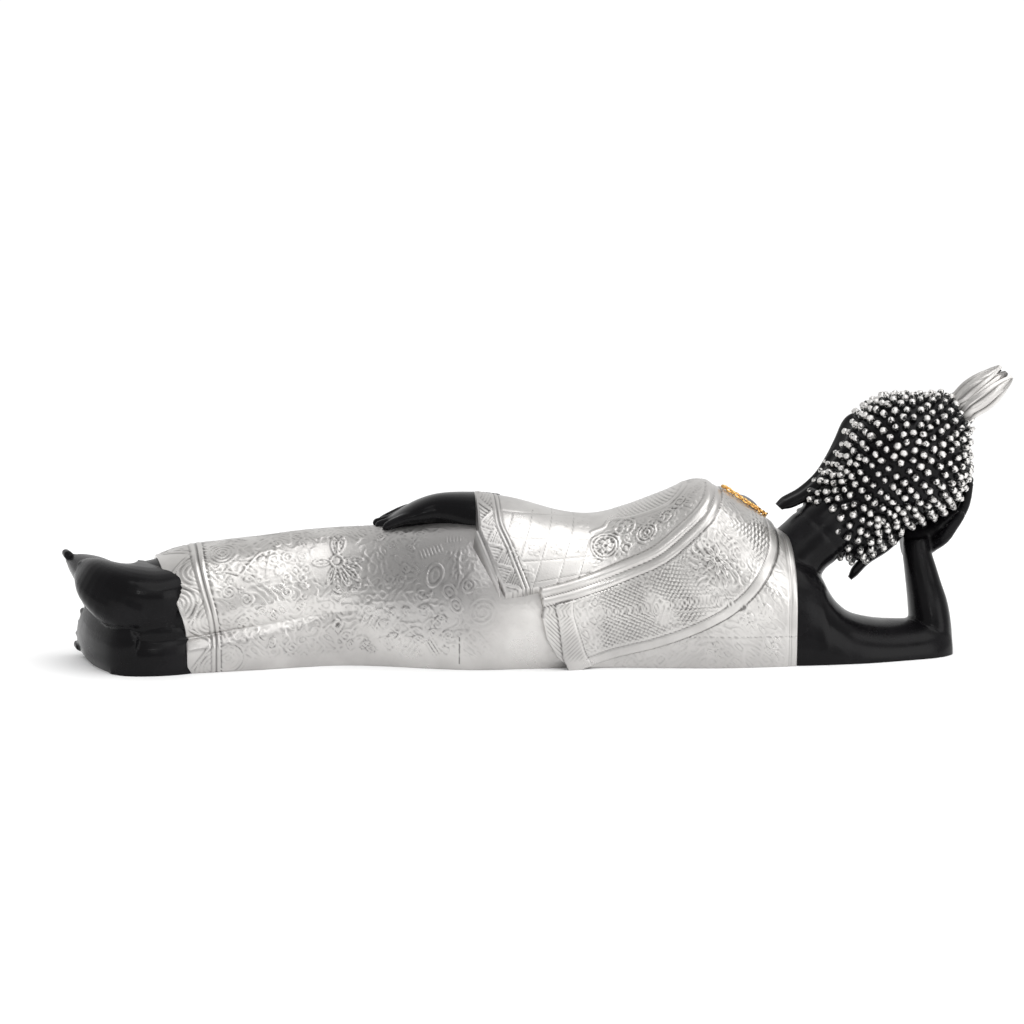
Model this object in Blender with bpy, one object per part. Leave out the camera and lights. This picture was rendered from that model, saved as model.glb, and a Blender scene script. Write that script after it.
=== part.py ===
"""A reclining figure cast in resin, lying on its right side, with a gold chain and a glass stone as trim.

The figure lies along X with its head towards +X. Its back faces -Y, its left side faces +Z.
Free forms are counted in parts of the figure's own length, so one part is one millimetre at the real size.
"""
import math

import bmesh
import bpy
from mathutils import Matrix, Vector
from mathutils.bvhtree import BVHTree

# Driving dimensions, in metres
FIGURE_LENGTH = 0.422
PART = FIGURE_LENGTH / 422.0
GLUE_GAP = 0.0004
CHAIN_WIDTH = 0.0028
CHAIN_WAIST = 0.0016
CHAIN_THICKNESS = 0.0015
LINK_PITCH = 0.0036
STONE_LENGTH = 0.0115
STONE_WIDTH = 0.0062
STONE_HEIGHT = 0.0024

# How finely the free forms are built
CLOTH_SIDES = 30
CLOTH_STEP = 10.6
LIMB_SIDES = 14
SKIN_VOXEL = 1.5
SKIN_FACES = 1150
CURL_SPLITS = 6

# How far the sash lies over the robe, its rolled edge over the sash, and a curl over the scalp, in parts
SASH_LAYER = 1.5
ROLL_LAYER = 1.1
CURL_HEIGHT = 2.3


def smooth_row(rows, x):
    """The values of a table at x, on a smooth curve through its rows. The first column holds x."""
    x = min(max(x, rows[0][0]), rows[-1][0])
    k = max(i for i in range(len(rows) - 1) if rows[i][0] <= x)
    before = rows[max(k - 1, 0)]
    a, b = rows[k], rows[k + 1]
    after = rows[min(k + 2, len(rows) - 1)]
    span = b[0] - a[0]
    t = (x - a[0]) / span
    out = []
    for j in range(1, len(a)):
        slope_a = (b[j] - before[j]) / (b[0] - before[0]) * span
        slope_b = (after[j] - a[j]) / (after[0] - a[0]) * span
        out.append(
            a[j] * (2 * t**3 - 3 * t**2 + 1)
            + slope_a * (t**3 - 2 * t**2 + t)
            + b[j] * (3 * t**2 - 2 * t**3)
            + slope_b * (t**3 - t**2)
        )
    return out


def hump(distance, width):
    """A smooth bump: 1 at distance 0, falling to nothing over a few widths."""
    return math.exp(-((distance / width) ** 2))


def rise(x, start, end):
    """0 before start, 1 after end, and a smooth ramp between them."""
    t = min(max((x - start) / (end - start), 0.0), 1.0)
    return t * t * (3 - 2 * t)


def steps(start, end, step):
    """Evenly spread values from start to end, about a step apart."""
    count = max(2, round(abs(end - start) / step))
    return [start + (end - start) * i / count for i in range(count + 1)]


def gloss(name, colour, roughness, metallic):
    material = bpy.data.materials.new(name)
    material.use_nodes = True
    shader = material.node_tree.nodes["Principled BSDF"]
    shader.inputs["Base Color"].default_value = (*colour, 1.0)
    shader.inputs["Roughness"].default_value = roughness
    shader.inputs["Metallic"].default_value = metallic
    return material


def add_object(name, bm):
    """An object of this mesh, whose points are counted in parts."""
    bmesh.ops.scale(bm, vec=(PART, PART, PART), verts=bm.verts)
    bmesh.ops.recalc_face_normals(bm, faces=bm.faces)
    mesh = bpy.data.meshes.new(name)
    bm.to_mesh(mesh)
    bm.free()
    obj = bpy.data.objects.new(name, mesh)
    bpy.context.scene.collection.objects.link(obj)
    return obj


def add_rings(bm, rings):
    """A closed skin over rings of points that all have the same count."""
    loops = [[bm.verts.new(point) for point in ring] for ring in rings]
    count = len(loops[0])
    for one, other in zip(loops, loops[1:]):
        for i in range(count):
            j = (i + 1) % count
            bm.faces.new((one[i], one[j], other[j], other[i]))
    bm.faces.new(list(reversed(loops[0])))
    bm.faces.new(loops[-1])


def loft(name, rings):
    bm = bmesh.new()
    add_rings(bm, rings)
    return add_object(name, bm)


def bake(obj):
    """Keeps what the object's modifiers make of it, and removes them."""
    bpy.context.view_layer.update()
    graph = bpy.context.evaluated_depsgraph_get()
    mesh = bpy.data.meshes.new_from_object(obj.evaluated_get(graph))
    obj.modifiers.clear()
    obj.data = mesh


def combine(obj, others, operation="UNION"):
    """Joins the other solids to this one, or cuts them from it, and removes them."""
    for other in others:
        modifier = obj.modifiers.new(operation.title(), "BOOLEAN")
        modifier.operation = operation
        modifier.object = other
        bake(obj)
        bpy.data.objects.remove(other)
    return obj


def prism(name, outline, y_low, y_high):
    """A solid with this outline in X and Z, from y_low to y_high."""
    return loft(name, [[Vector((x, y, z)) for x, z in outline] for y in (y_low, y_high)])


def squashed(angle, power):
    """A point of a superellipse of half width 1, at this angle."""
    c, s = math.cos(angle), math.sin(angle)
    return math.copysign(abs(c) ** (2 / power), c), math.copysign(abs(s) ** (2 / power), s)


# The skirt round the legs and hips: x, top, back and front of its section
SKIRT = [
    (-164, 48.0, -38.2, 15.0),
    (-152, 50.4, -38.0, 16.0),
    (-136, 53.0, -35.0, 16.0),
    (-120, 55.2, -31.8, 16.0),
    (-105, 56.9, -28.0, 16.5),
    (-88, 57.9, -25.5, 17.5),
    (-70, 58.6, -28.5, 19.5),
    (-50, 60.0, -35.5, 21.5),
    (-30, 61.6, -40.5, 22.5),
    (-10, 61.5, -40.0, 22.5),
    (10, 59.5, -38.5, 21.0),
    (34, 58.0, -35.5, 19.0),
]
# The robe over the trunk and the left arm
ROBE = [
    (-27, 73.6, -42.0, 24.0),
    (-10, 70.5, -42.5, 24.0),
    (10, 64.9, -40.5, 22.5),
    (24, 63.7, -38.5, 20.5),
    (37, 66.6, -39.0, 20.0),
    (55, 73.2, -41.5, 20.5),
    (70, 78.8, -43.0, 20.5),
    (80, 74.0, -43.5, 20.5),
    (93, 65.2, -43.0, 20.0),
    (104, 57.6, -42.2, 19.5),
    (110, 53.8, -41.6, 19.0),
]
# The groove between the legs: x, its height, its depth
CREASE = [(-165, 13.0, 4.2), (-142, 16.4, 3.6), (-122, 19.2, 2.4), (-96, 23.2, 0.8), (-84, 25.0, 0.0)]
HEM_SLANT = 0.26
# How square the cloth is where it lies on the floor, 2 being round
SKIRT_LOWER_POWER = 3.6
ROBE_LOWER_POWER = 6.0


def cloth_point(table, x, angle, grow=0.0):
    """A point of the cloth's section at x. Angle 0 faces +Y, a quarter turn faces up."""
    top, back, front = smooth_row(table, x)
    half_height = 0.6 * top
    half_depth = (front - back) / 2
    lower_power = SKIRT_LOWER_POWER if table is SKIRT else ROBE_LOWER_POWER
    across, up = squashed(angle, 2.15 if math.sin(angle) > 0 else lower_power)
    y = (front + back) / 2 + (half_depth + grow) * across
    z = top - half_height + (half_height + grow) * up
    if table is SKIRT and x < CREASE[-1][0]:
        height, depth = smooth_row(CREASE, x)
        y -= math.copysign(depth, across) * hump(z - height, 4.0) * min(1.0, 2 * abs(across))
    slant = HEM_SLANT * (1 - rise(x, -160, -110)) if table is SKIRT else 0.0
    return Vector((x - slant * (y - back), y, z))


def cloth(name, table, start, end, grow=0.0):
    rings = []
    for x in steps(start, end, CLOTH_STEP):
        rings.append([cloth_point(table, x, 2 * math.pi * i / CLOTH_SIDES, grow) for i in range(CLOTH_SIDES)])
    return loft(name, rings)


# Outlines seen from the back, in X and Z
ROBE_OPEN = [(-60, 90), (-29, 90), (-28, 61), (-23.6, 50.3), (-17.2, 33.6), (-3, 35.8), (14, 36),
             (14, -30), (-60, -30)]
UNDER_ROBE = [(-31.5, 57), (-20, 57), (-10, 32.5), (-18.6, 31.8), (-20.4, 34.5), (-27, 49.5)]
SASH_UPPER = [(-2.6, 35.9), (9, 38.2), (21, 41.4), (34, 46.3), (47.5, 52.4), (59.5, 62), (66.5, 71),
              (69.5, 80), (70.5, 92)]
SASH_LOWER = [(106, 92), (103, 54), (101, 47), (93, 34.5), (82, 24.5), (66, 16), (48, 9.5), (32, 5.5),
              (20.5, 2.0)]
OUTER_FOLD = [(9, 31), (-0.9, 30.8), (-1.6, 22.8), (0.2, 14), (4.6, 6), (9, 2.2), (9, 6), (8.2, 14),
              (6.8, 22.7)]
INNER_FOLD = [(12, 31), (3.6, 30.8), (5.4, 22.7), (6.7, 14), (7.7, 6), (9.5, 1), (14, 0.4), (21, 2.4),
              (17.7, 8), (15, 16), (12.4, 24)]
ROLL_WIDTH = 4.2


def sash_outline():
    return SASH_UPPER + SASH_LOWER + [(17, 8), (10, 28)]


def roll_outline(shift):
    """A strip that runs along the sash's upper edge, shifted towards its lower one."""
    def moved(points, by):
        out = []
        for i, (x, z) in enumerate(points):
            ax, az = points[max(i - 1, 0)]
            bx, bz = points[min(i + 1, len(points) - 1)]
            run = math.hypot(bx - ax, bz - az)
            out.append((x + (bz - az) / run * by, z - (bx - ax) / run * by))
        return out
    return moved(SASH_UPPER, shift) + list(reversed(moved(SASH_UPPER, shift + ROLL_WIDTH * 0.9)))


def robe_layers():
    """The robe, open over the hip, and the folded sash on its back."""
    robe = cloth("robe", ROBE, -27, 110)
    combine(robe, [prism("open", ROBE_OPEN, -70, 70)], "DIFFERENCE")
    layers = [robe]
    for name, outline, grow in (
        ("under_robe", UNDER_ROBE, -0.8),
        ("sash", sash_outline(), SASH_LAYER),
        ("outer_fold", OUTER_FOLD, SASH_LAYER - 0.4),
        ("inner_fold", INNER_FOLD, SASH_LAYER + 0.6),
        ("upper_roll", roll_outline(0.2), SASH_LAYER + ROLL_LAYER),
        ("lower_roll", roll_outline(0.2 + ROLL_WIDTH), SASH_LAYER + ROLL_LAYER * 0.6),
    ):
        band = cloth(name, ROBE, -27, 109, grow)
        layers.append(combine(band, [prism("band", outline, -70, 70)], "INTERSECT"))
    return layers


def frames(path):
    """A direction and two sideways directions at each point of a path."""
    out = []
    for i, point in enumerate(path):
        ahead = path[min(i + 1, len(path) - 1)] - path[max(i - 1, 0)]
        ahead.normalize()
        side = ahead.cross(Vector((0, 1, 0))).normalized()
        out.append((point, side, ahead.cross(side)))
    return out


def limb(name, rows, sides=LIMB_SIDES, power=2.2):
    """A limb through rows of centre, half width across and half width along Y."""
    path = [Vector(row[0]) for row in rows]
    rings = []
    for (point, side, deep), row in zip(frames(path), rows):
        ring = []
        for i in range(sides):
            a, b = squashed(2 * math.pi * i / sides, power)
            ring.append(point + side * (a * row[1]) + deep * (b * row[2]))
        rings.append(ring)
    return loft(name, rings)


def finger(name, path, width, end_width, sides=8):
    """A round finger along a path, thinner at its tip."""
    rows = []
    points = [Vector(p) for p in path]
    for i, point in enumerate(points):
        size = width + (end_width - width) * i / (len(points) - 1)
        rows.append((point, size, size))
    tip = points[-1] + (points[-1] - points[-2]).normalized() * end_width * 0.75
    rows.append((tip, end_width * 0.55, end_width * 0.55))
    return limb(name, rows, sides, 2.0)


# The head stands on its own axes: l to its left side, f to its face, u to its crown
HEAD = Vector((160.1, 2.0, 79.4))
HEAD_TILT = math.radians(45)
UP = Vector((math.cos(HEAD_TILT), 0, math.sin(HEAD_TILT)))
LEFT = Vector((-math.sin(HEAD_TILT), 0, math.cos(HEAD_TILT)))
FRONT = Vector((0, 1, 0))


def head_point(left, front, up):
    return HEAD + LEFT * left + FRONT * front + UP * up


# The hair's half width and its height from crown to nape
HAIR = [
    (0, 41.5),
    (6.0, 40.8),
    (9.8, 38.2),
    (12.6, 34.6),
    (17.0, 30.0),
    (22.2, 25.2),
    (26.4, 18.4),
    (28.6, 9.0),
    (27.2, 0.6),
    (24.0, -7.0),
    (22.2, -15.0),
    (21.2, -24.0),
    (20.2, -32.0),
    (17.6, -39.0),
    (10, -43.0),
    (0, -44.5),
]
NAPE = -39.5
HAIRLINE = 14.0
# The face's section: height, half width, depth of its front
FACE = [
    (-42, 3.0, 16.0),
    (-40.5, 8.0, 22.0),
    (-37, 12.5, 27.0),
    (-32, 16.5, 29.5),
    (-26, 19.6, 29.5),
    (-18, 21.8, 30.2),
    (-10, 23.0, 29.6),
    (-2, 24.8, 29.0),
    (6, 26.4, 28.8),
    (12, 26.0, 27.0),
    (18, 23.0, 22.5),
]


def along_hair(share):
    """The hair's half width and height at a share of the way from crown to nape."""
    lengths = [0.0]
    for (w, u), (w2, u2) in zip(HAIR, HAIR[1:]):
        lengths.append(lengths[-1] + math.hypot(w2 - w, u2 - u))
    rows = [(length / lengths[-1], w, u) for length, (w, u) in zip(lengths, HAIR)]
    return smooth_row(rows, share)


def hair_cap():
    """A closed cap of six-sided cells, each raised to a point where a curl grows."""
    sphere = bmesh.new()
    bmesh.ops.create_icosphere(sphere, subdivisions=1, radius=1.0)
    bmesh.ops.subdivide_edges(sphere, edges=sphere.edges, cuts=CURL_SPLITS, use_grid_fill=True)
    bmesh.ops.triangulate(sphere, faces=sphere.faces)

    def on_hair(direction, lift):
        direction = direction.normalized()
        polar = math.acos(max(-1.0, min(1.0, direction.z)))
        width, up = along_hair(polar / math.pi)
        flat = max(math.hypot(direction.x, direction.y), 1e-6)
        deep = 0.93 if direction.y > 0 else 1.02
        left, front = width * direction.x / flat, deep * width * direction.y / flat
        outward = Vector((left, front, 0.6 * up)).normalized()
        front_share = max(direction.y, 0.0) / flat
        line = HAIRLINE + (1 - front_share) * -20 if direction.y > 0.12 * flat else NAPE
        hairy = up > line
        if not hairy:
            lift, left, front = -3.5, left * 0.95, front * (0.8 if direction.y > 0 else 1.0)
        return head_point(left + outward.x * lift, front + outward.y * lift, up + outward.z * lift), hairy

    cap = bmesh.new()
    middles = {face: cap.verts.new(on_hair(face.calc_center_median(), 0.0)[0]) for face in sphere.faces}
    for vert in sphere.verts:
        normal = vert.co.normalized()
        across = normal.orthogonal().normalized()
        around = normal.cross(across)

        def turn(face):
            arm = face.calc_center_median() - vert.co
            return math.atan2(arm.dot(around), arm.dot(across))

        ring = [middles[face] for face in sorted(vert.link_faces, key=turn)]
        tip, hairy = on_hair(vert.co, CURL_HEIGHT)
        if not hairy:
            cap.faces.new(ring)
            continue
        peak = cap.verts.new(tip)
        for one, other in zip(ring, ring[1:] + ring[:1]):
            cap.faces.new((one, other, peak))
    sphere.free()
    return add_object("hair", cap)


def face_relief(left, up):
    """How far the features stand out of the plain face: nose, brows, eyelids, lips and chin."""
    side = abs(left)
    bridge = rise(up, -20.0, -17.0) * (1 - rise(up, -2.0, 6.0))
    nose = bridge * (2.0 + 5.2 * rise(-up, 1.0, 16.0)) * hump(left, 2.6 + 1.4 * rise(-up, 6.0, 16.0))
    wings = 2.2 * hump(side - 3.9, 1.9) * hump(up + 16.6, 2.3)
    brows = 1.2 * hump(up - (2.5 + 2.4 * math.cos((side - 11.5) / 6.5)), 1.7) * rise(side, 2.5, 6.0) * (
        1 - rise(side, 18.0, 22.0))
    sockets = -2.4 * hump(side - 10.5, 6.5) * hump(up + 4.5, 4.2)
    lids = 2.3 * hump(side - 11.0, 4.6) * hump(up + 5.0, 2.3)
    upper_lip = 2.0 * hump(left, 6.6) * hump(up + 23.6 - 0.5 * math.cos(side * 0.7), 1.3)
    lower_lip = 2.2 * hump(left, 5.2) * hump(up + 27.2, 1.6)
    chin = 1.6 * hump(left, 6.0) * hump(up + 35.0, 4.0)
    return nose + wings + brows + sockets + lids + upper_lip + lower_lip + chin


def face_ring(up, count):
    half_width, front = smooth_row(FACE, up)
    back = -6.0
    ring = []
    for i in range(count + 1):
        angle = math.pi * i / count
        across, out = squashed(angle, 2.35)
        left = half_width * across
        depth = back + (front - back) * out
        ring.append(head_point(left, depth + face_relief(left, up) * out, up))
    ring.append(head_point(-half_width * 0.9, back - 6.0, up))
    ring.append(head_point(half_width * 0.9, back - 6.0, up))
    return ring


def face():
    rows = [-42, -40.5, -37.5, -35, -32.5, -30, -28.5,
            -27.2, -25.4, -23.6, -21.5, -19.5, -17.8, -16, -13, -9.5,
            -6.5, -4, 0, 3.5, 7, 12, 17]
    skin = loft("face", [face_ring(up, 22) for up in rows])
    thin = skin.modifiers.new("Thin", "DECIMATE")
    thin.ratio = 0.62
    bake(skin)
    return skin


# How far out an ear's front edge stands, for each part of its depth
EAR_FLARE = 0.3


def ear(side):
    """A long ear with a hanging lobe, its flat faces towards the head and away from it."""
    # height, middle of its thickness, half thickness, front and back edges
    rows = [
        (8.0, 27.4, 1.2, -1.0, 3.0),
        (6.0, 28.2, 2.4, -4.5, 6.0),
        (1.0, 27.6, 2.7, -6.5, 8.0),
        (-7.5, 24.6, 2.7, -6.4, 7.5),
        (-16.0, 22.4, 2.6, -5.6, 6.0),
        (-25.0, 21.2, 2.4, -5.0, 4.5),
        (-35.0, 21.9, 2.4, -4.8, 4.2),
        (-43.0, 24.4, 2.3, -4.6, 3.8),
        (-46.8, 25.7, 1.5, -3.4, 2.6),
    ]
    rings = []
    for up, middle, half, back, front in rows:
        ring = []
        for i in range(10):
            a, b = squashed(2 * math.pi * (i + 0.5) / 10, 2.6)
            depth = (front - back) / 2 * b
            out = (middle if side > 0 else -0.86 * middle) + side * EAR_FLARE * depth
            ring.append(head_point(out + half * a, (back + front) / 2 - 1.5 + depth, up))
        rings.append(ring)
    return loft("ear", rings)


# Where the flame's foot stands beside the crown, and how far it leans for each part of its height
FLAME_LEAN = (-0.6, -0.125)


def flame():
    """The bud on the crown: pointed petals round a core, over a small cup."""
    rows = [(36.5, 5.6), (41.0, 6.0), (43.5, 5.5), (46.5, 6.6), (51.0, 7.4), (56.0, 6.8), (61.0, 5.4),
            (66.0, 3.5), (69.5, 1.9), (71.0, 0.8)]
    petals = 6
    rings = []
    for up, radius in rows:
        ring = []
        for i in range(3 * petals):
            angle = 2 * math.pi * i / (3 * petals)
            out = radius * (1 + 0.12 * math.cos(petals * angle) * rise(up, 43.0, 50.0))
            lean = FLAME_LEAN[0] + FLAME_LEAN[1] * (up - rows[0][0])
            ring.append(head_point(out * math.cos(angle) + lean, out * math.sin(angle) - 2.0, up))
        rings.append(ring)
    return loft("flame", rings)


def foot(heel, toes, wide, half_width):
    """A foot from heel to toes. Wide is the direction from its lower to its upper edge."""
    heel, toes, wide = Vector(heel), Vector(toes), Vector(wide).normalized()
    ahead = (toes - heel).normalized()
    sole = ahead.cross(wide).normalized()
    if sole.x > 0:
        sole.negate()
    length = (toes - heel).length
    # share of the length, half width, depth from sole to instep
    rows = [(0.0, 0.55, 7.0), (0.05, 0.86, 14.0), (0.16, 1.0, 21.0), (0.32, 1.0, 22.0),
            (0.5, 0.96, 17.0), (0.68, 0.98, 12.5), (0.80, 1.0, 10.5), (0.86, 0.97, 9.0)]
    rings = []
    for share, width, depth in rows:
        middle = heel + ahead * (share * length) - sole * (depth / 2 + (2.5 if share < 0.04 else 0.0))
        ring = []
        for i in range(LIMB_SIDES):
            a, b = squashed(2 * math.pi * i / LIMB_SIDES, 2.5)
            ring.append(middle + wide * (a * width * half_width) + sole * (b * depth / 2))
        rings.append(ring)
    solids = [loft("foot", rings)]
    for i in range(5):
        place = (i - 2) / 2.35 * half_width
        start = heel + ahead * (0.80 * length) + wide * place - sole * 4.4
        end = heel + ahead * (0.97 * length) + wide * (place * 1.02) - sole * 4.2
        solids.append(finger("toe", [start, start.lerp(end, 0.5), end], half_width * 0.225, half_width * 0.2))
    return solids


def fused_skin(name, solids, faces, voxel=SKIN_VOXEL):
    """These solids melted into one smooth skin of about so many faces."""
    skin = combine(solids[0], solids[1:])
    remesh = skin.modifiers.new("Melt", "REMESH")
    remesh.mode = "VOXEL"
    remesh.voxel_size = voxel * PART
    smooth = skin.modifiers.new("Smooth", "SMOOTH")
    smooth.factor = 0.5
    smooth.iterations = 5
    bake(skin)
    thin = skin.modifiers.new("Thin", "DECIMATE")
    thin.ratio = min(1.0, faces / (2.0 * len(skin.data.polygons)))
    bake(skin)
    skin.name = name
    return skin


# Rows of centre, half width across and half width along Y. The shoulder runs on to the elbow on the floor.
SHOULDER_ARM = [
    ((96, -11.0, 0.0), 50.0, 27.0),
    ((108, -11.5, 0.0), 49.0, 28.6),
    ((116, -12.4, 0.0), 45.0, 28.4),
    ((122, -13.0, 0.0), 40.0, 27.4),
    ((126, -13.3, 0.0), 34.5, 26.8),
    ((129, -13.5, 0.0), 28.5, 26.2),
    ((133, -13.6, 0.0), 23.0, 25.5),
    ((140, -13.5, 0.0), 18.0, 24.5),
    ((152, -12.5, 0.0), 15.2, 22.4),
    ((164, -11.5, 0.0), 14.5, 20.0),
    ((173, -10.5, 0.0), 14.6, 17.8),
    ((180, -9.5, 0.0), 13.8, 14.0),
    ((184, -9.0, 0.0), 11.4, 9.8),
    ((185.6, -9.0, 0.0), 8.0, 5.0),
]
FOREARM = [
    ((177.2, -9.0, 1.5), 9.0, 14.5),
    ((176.8, -8.6, 11.0), 8.9, 13.2),
    ((175.8, -7.0, 20.0), 8.7, 11.8),
    ((174.4, -5.0, 28.0), 7.8, 10.0),
    ((173.0, -3.0, 36.0), 7.0, 8.6),
    ((172.0, -1.0, 42.0), 6.4, 7.8),
    ((171.8, 1.0, 48.0), 6.0, 7.4),
]
NECK = [
    ((100, -8.0, 28.0), 19.0, 17.0),
    ((110, -7.5, 38.0), 16.0, 16.5),
    ((118.2, -6.2, 46.4), 13.6, 15.5),
    ((124.4, -5.0, 51.4), 13.5, 15.4),
    ((125.6, -4.8, 52.4), 12.7, 14.7),
    ((126.8, -4.6, 53.4), 13.5, 15.4),
    ((134.8, -3.0, 60.0), 13.2, 15.0),
    ((146, -2.0, 68.0), 13.0, 14.0),
]


def right_hand():
    """The hand that holds the head: a palm under its side, fingers to the crown and the thumb behind."""
    palm_rows = [((-15.8, 3.0, -34.2), 4.4, 6.8), ((-10.8, 3.5, -36.2), 4.8, 8.6),
                 ((-3.9, 4.0, -36.8), 4.4, 10.0), ((4.2, 4.0, -36.6), 4.0, 10.2),
                 ((8.5, 4.0, -35.2), 3.4, 9.6)]
    rows = [(head_point(l, f, u), thick, deep) for (u, f, l), thick, deep in palm_rows]
    solids = [limb("palm", rows)]
    for i, (reach, spread) in enumerate(((20.2, -4.2), (22.6, 1.2), (21.2, 6.6), (17.6, 11.6))):
        base = 6.2 - 0.4 * i
        path = [head_point(-35.8, spread, base), head_point(-33.4, spread * 1.02, (base + reach) / 2),
                head_point(-28.4 + 0.1 * i, spread * 1.05, reach)]
        solids.append(finger("finger", path, 2.6, 2.2))
    thumb = [head_point(-36.5, -2.0, -10.8), head_point(-36.3, -8.5, -4.8), head_point(-34.2, -12.0, 2.3),
             head_point(-32.9, -13.5, 7.4)]
    solids.append(finger("thumb", thumb, 3.3, 2.3))
    return solids


def left_hand():
    """The hand on the thigh: wrist, palm, four fingers towards the feet and the thumb in front."""
    rows = [((-18, -1.0, 62.4), 9.2, 10.5), ((-28, -1.0, 63.9), 9.0, 10.5),
            ((-36, -1.5, 64.8), 8.0, 10.5), ((-44, -2.0, 64.6), 7.6, 11.0),
            ((-51, -2.0, 64.2), 6.2, 11.2), ((-56, -2.0, 63.0), 5.2, 10.6)]
    solids = [limb("hand", rows)]
    for i, (reach, across) in enumerate(((-67.0, -10.4), (-70.0, -4.9), (-71.0, 0.6), (-68.5, 6.0))):
        lift = 0.5 * i
        path = [(-50, across, 63.8 + lift), (-58, across * 1.02, 62.4 + lift),
                (-65, across * 1.02, 59.8 + lift * 0.8), (reach, across, 58.6 + lift * 0.5)]
        solids.append(finger("finger", path, 2.9, 2.1))
    thumb = [(-34, 9.0, 62.0), (-42, 13.0, 60.0), (-49, 15.0, 57.0), (-54, 15.5, 54.0)]
    solids.append(finger("thumb", thumb, 3.4, 2.4))
    return solids


def feet():
    solids = foot((-187.0, -40.5, 5.0), (-206.5, 6.0, 10.5), (0.1, 0.0, 1.0), 15.0)
    solids += foot((-163.0, -34.5, 31.0), (-205.5, 3.0, 33.2), (-0.36, 0.0, 0.93), 15.2)
    ankles = [((-142, -10.0, 5.0), 16.0, 18.0), ((-152, -12.0, 4.5), 16.4, 24.0),
              ((-160, -14.0, 4.0), 16.0, 26.0), ((-170, -16.0, 4.2), 15.2, 25.4),
              ((-180, -18.0, 5.0), 14.5, 22.6), ((-187, -19.0, 6.0), 12.0, 16.0)]
    uppers = [((-142, -9.0, 31.0), 14.0, 15.0), ((-152, -11.0, 31.6), 14.8, 16.5),
              ((-160, -12.5, 31.6), 15.0, 17.0), ((-170, -15.0, 31.5), 13.0, 15.0)]
    return solids + [limb("ankle", ankles, power=3.2), limb("ankle", uppers)]


def figure():
    """The whole casting, cut flat where it lies."""
    skirt = cloth("skirt", SKIRT, -153, 34)
    inner_hem = cloth("inner_hem", SKIRT, -157.5, -140, -1.6)
    arm = limb("shoulder", SHOULDER_ARM, 24, 2.3)
    skin = fused_skin("skin", [arm, limb("neck", NECK), limb("forearm", FOREARM)] + right_hand(), SKIN_FACES)
    hand = fused_skin("left_hand", left_hand(), 410, 1.0)
    soles = fused_skin("feet", feet(), 720, 1.0)
    solids = robe_layers() + [inner_hem, skin, hand, soles, hair_cap(), face(), ear(1), ear(-1), flame()]
    body = combine(skirt, solids)
    floor = prism("floor", [(-300, 0), (300, 0), (300, -60), (-300, -60)], -200, 200)
    combine(body, [floor], "DIFFERENCE")
    body.name = "cast_figure"
    return body


# Where the trim lies: x, and its turn round the body in degrees, where 90 is the top and 0 the front
CHAIN_PATH = [(82.5, 84), (89, 83), (95, 81), (99.5, 75), (101, 60), (98.5, 45), (92, 30), (83.5, 15),
              (71, 0), (60, -9)]
STONE_PLACE = (91.5, 93)
TRIM_CORE = (-11.0, 20.0)


def seat(tree, x, turn):
    """The point of the body met by a ray towards its core at x, and the way out from there."""
    turn = math.radians(turn)
    core = Vector((x, TRIM_CORE[0], TRIM_CORE[1])) * PART
    out = Vector((0, math.cos(turn), math.sin(turn)))
    point, normal, index, distance = tree.ray_cast(core + out * 0.3, -out)
    return point, normal


def chain(tree):
    """The chain as one strip that narrows between its links and follows the cloth under it."""
    guide = []
    for (x, turn), (x2, turn2) in zip(CHAIN_PATH, CHAIN_PATH[1:]):
        for i in range(24):
            guide.append(seat(tree, x + (x2 - x) * i / 24, turn + (turn2 - turn) * i / 24))
    walked = [0.0]
    for (point, normal), (point2, normal2) in zip(guide, guide[1:]):
        walked.append(walked[-1] + (point2 - point).length)
    links = round(walked[-1] / LINK_PITCH)
    rings = []
    for i in range(2 * links + 1):
        goal = walked[-1] * i / (2 * links)
        k = min(max(j for j in range(len(walked)) if walked[j] <= goal + 1e-9), len(guide) - 2)
        near = [guide[j] for j in range(max(k - 6, 0), min(k + 8, len(guide)))]
        point = guide[k][0].lerp(guide[k + 1][0], (goal - walked[k]) / (walked[k + 1] - walked[k]))
        normal = sum((n for p, n in near), Vector()).normalized()
        ahead = (near[-1][0] - near[0][0]).normalized()
        across = normal.cross(ahead).normalized()
        width = CHAIN_WIDTH if i % 2 else CHAIN_WAIST
        thick = CHAIN_THICKNESS if i % 2 else CHAIN_THICKNESS * 0.75
        foot_of = point + normal * GLUE_GAP
        rings.append([
            foot_of + across * (a * width / 2) + normal * (b * thick)
            for a, b in ((-0.8, 0.0), (0.8, 0.0), (1.0, 0.6), (0.0, 1.0), (-1.0, 0.6))
        ])
    bm = bmesh.new()
    add_rings(bm, [[point / PART for point in ring] for ring in rings])
    return add_object("gold_chain", bm)


def stone(tree):
    """An oval cabochon lying along the shoulder."""
    point, normal = seat(tree, *STONE_PLACE)
    x, turn = STONE_PLACE
    ahead = (seat(tree, x + 4, turn)[0] - seat(tree, x - 4, turn)[0]).normalized()
    across = Vector((0, 1, 0))
    normal = ahead.cross(across).normalized()
    if normal.z < 0:
        normal.negate()
    bm = bmesh.new()
    bmesh.ops.create_uvsphere(bm, u_segments=16, v_segments=8, radius=1.0)
    low = [v for v in bm.verts if v.co.z < -0.05]
    bmesh.ops.delete(bm, geom=low, context="VERTS")
    bmesh.ops.holes_fill(bm, edges=[e for e in bm.edges if e.is_boundary], sides=0)
    turn = Matrix((ahead * STONE_LENGTH / 2, across * STONE_WIDTH / 2, normal * STONE_HEIGHT)).transposed()
    for vert in bm.verts:
        vert.co = (turn @ vert.co + point + normal * (GLUE_GAP + 0.0004)) / PART
    return add_object("shoulder_stone", bm)


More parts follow.
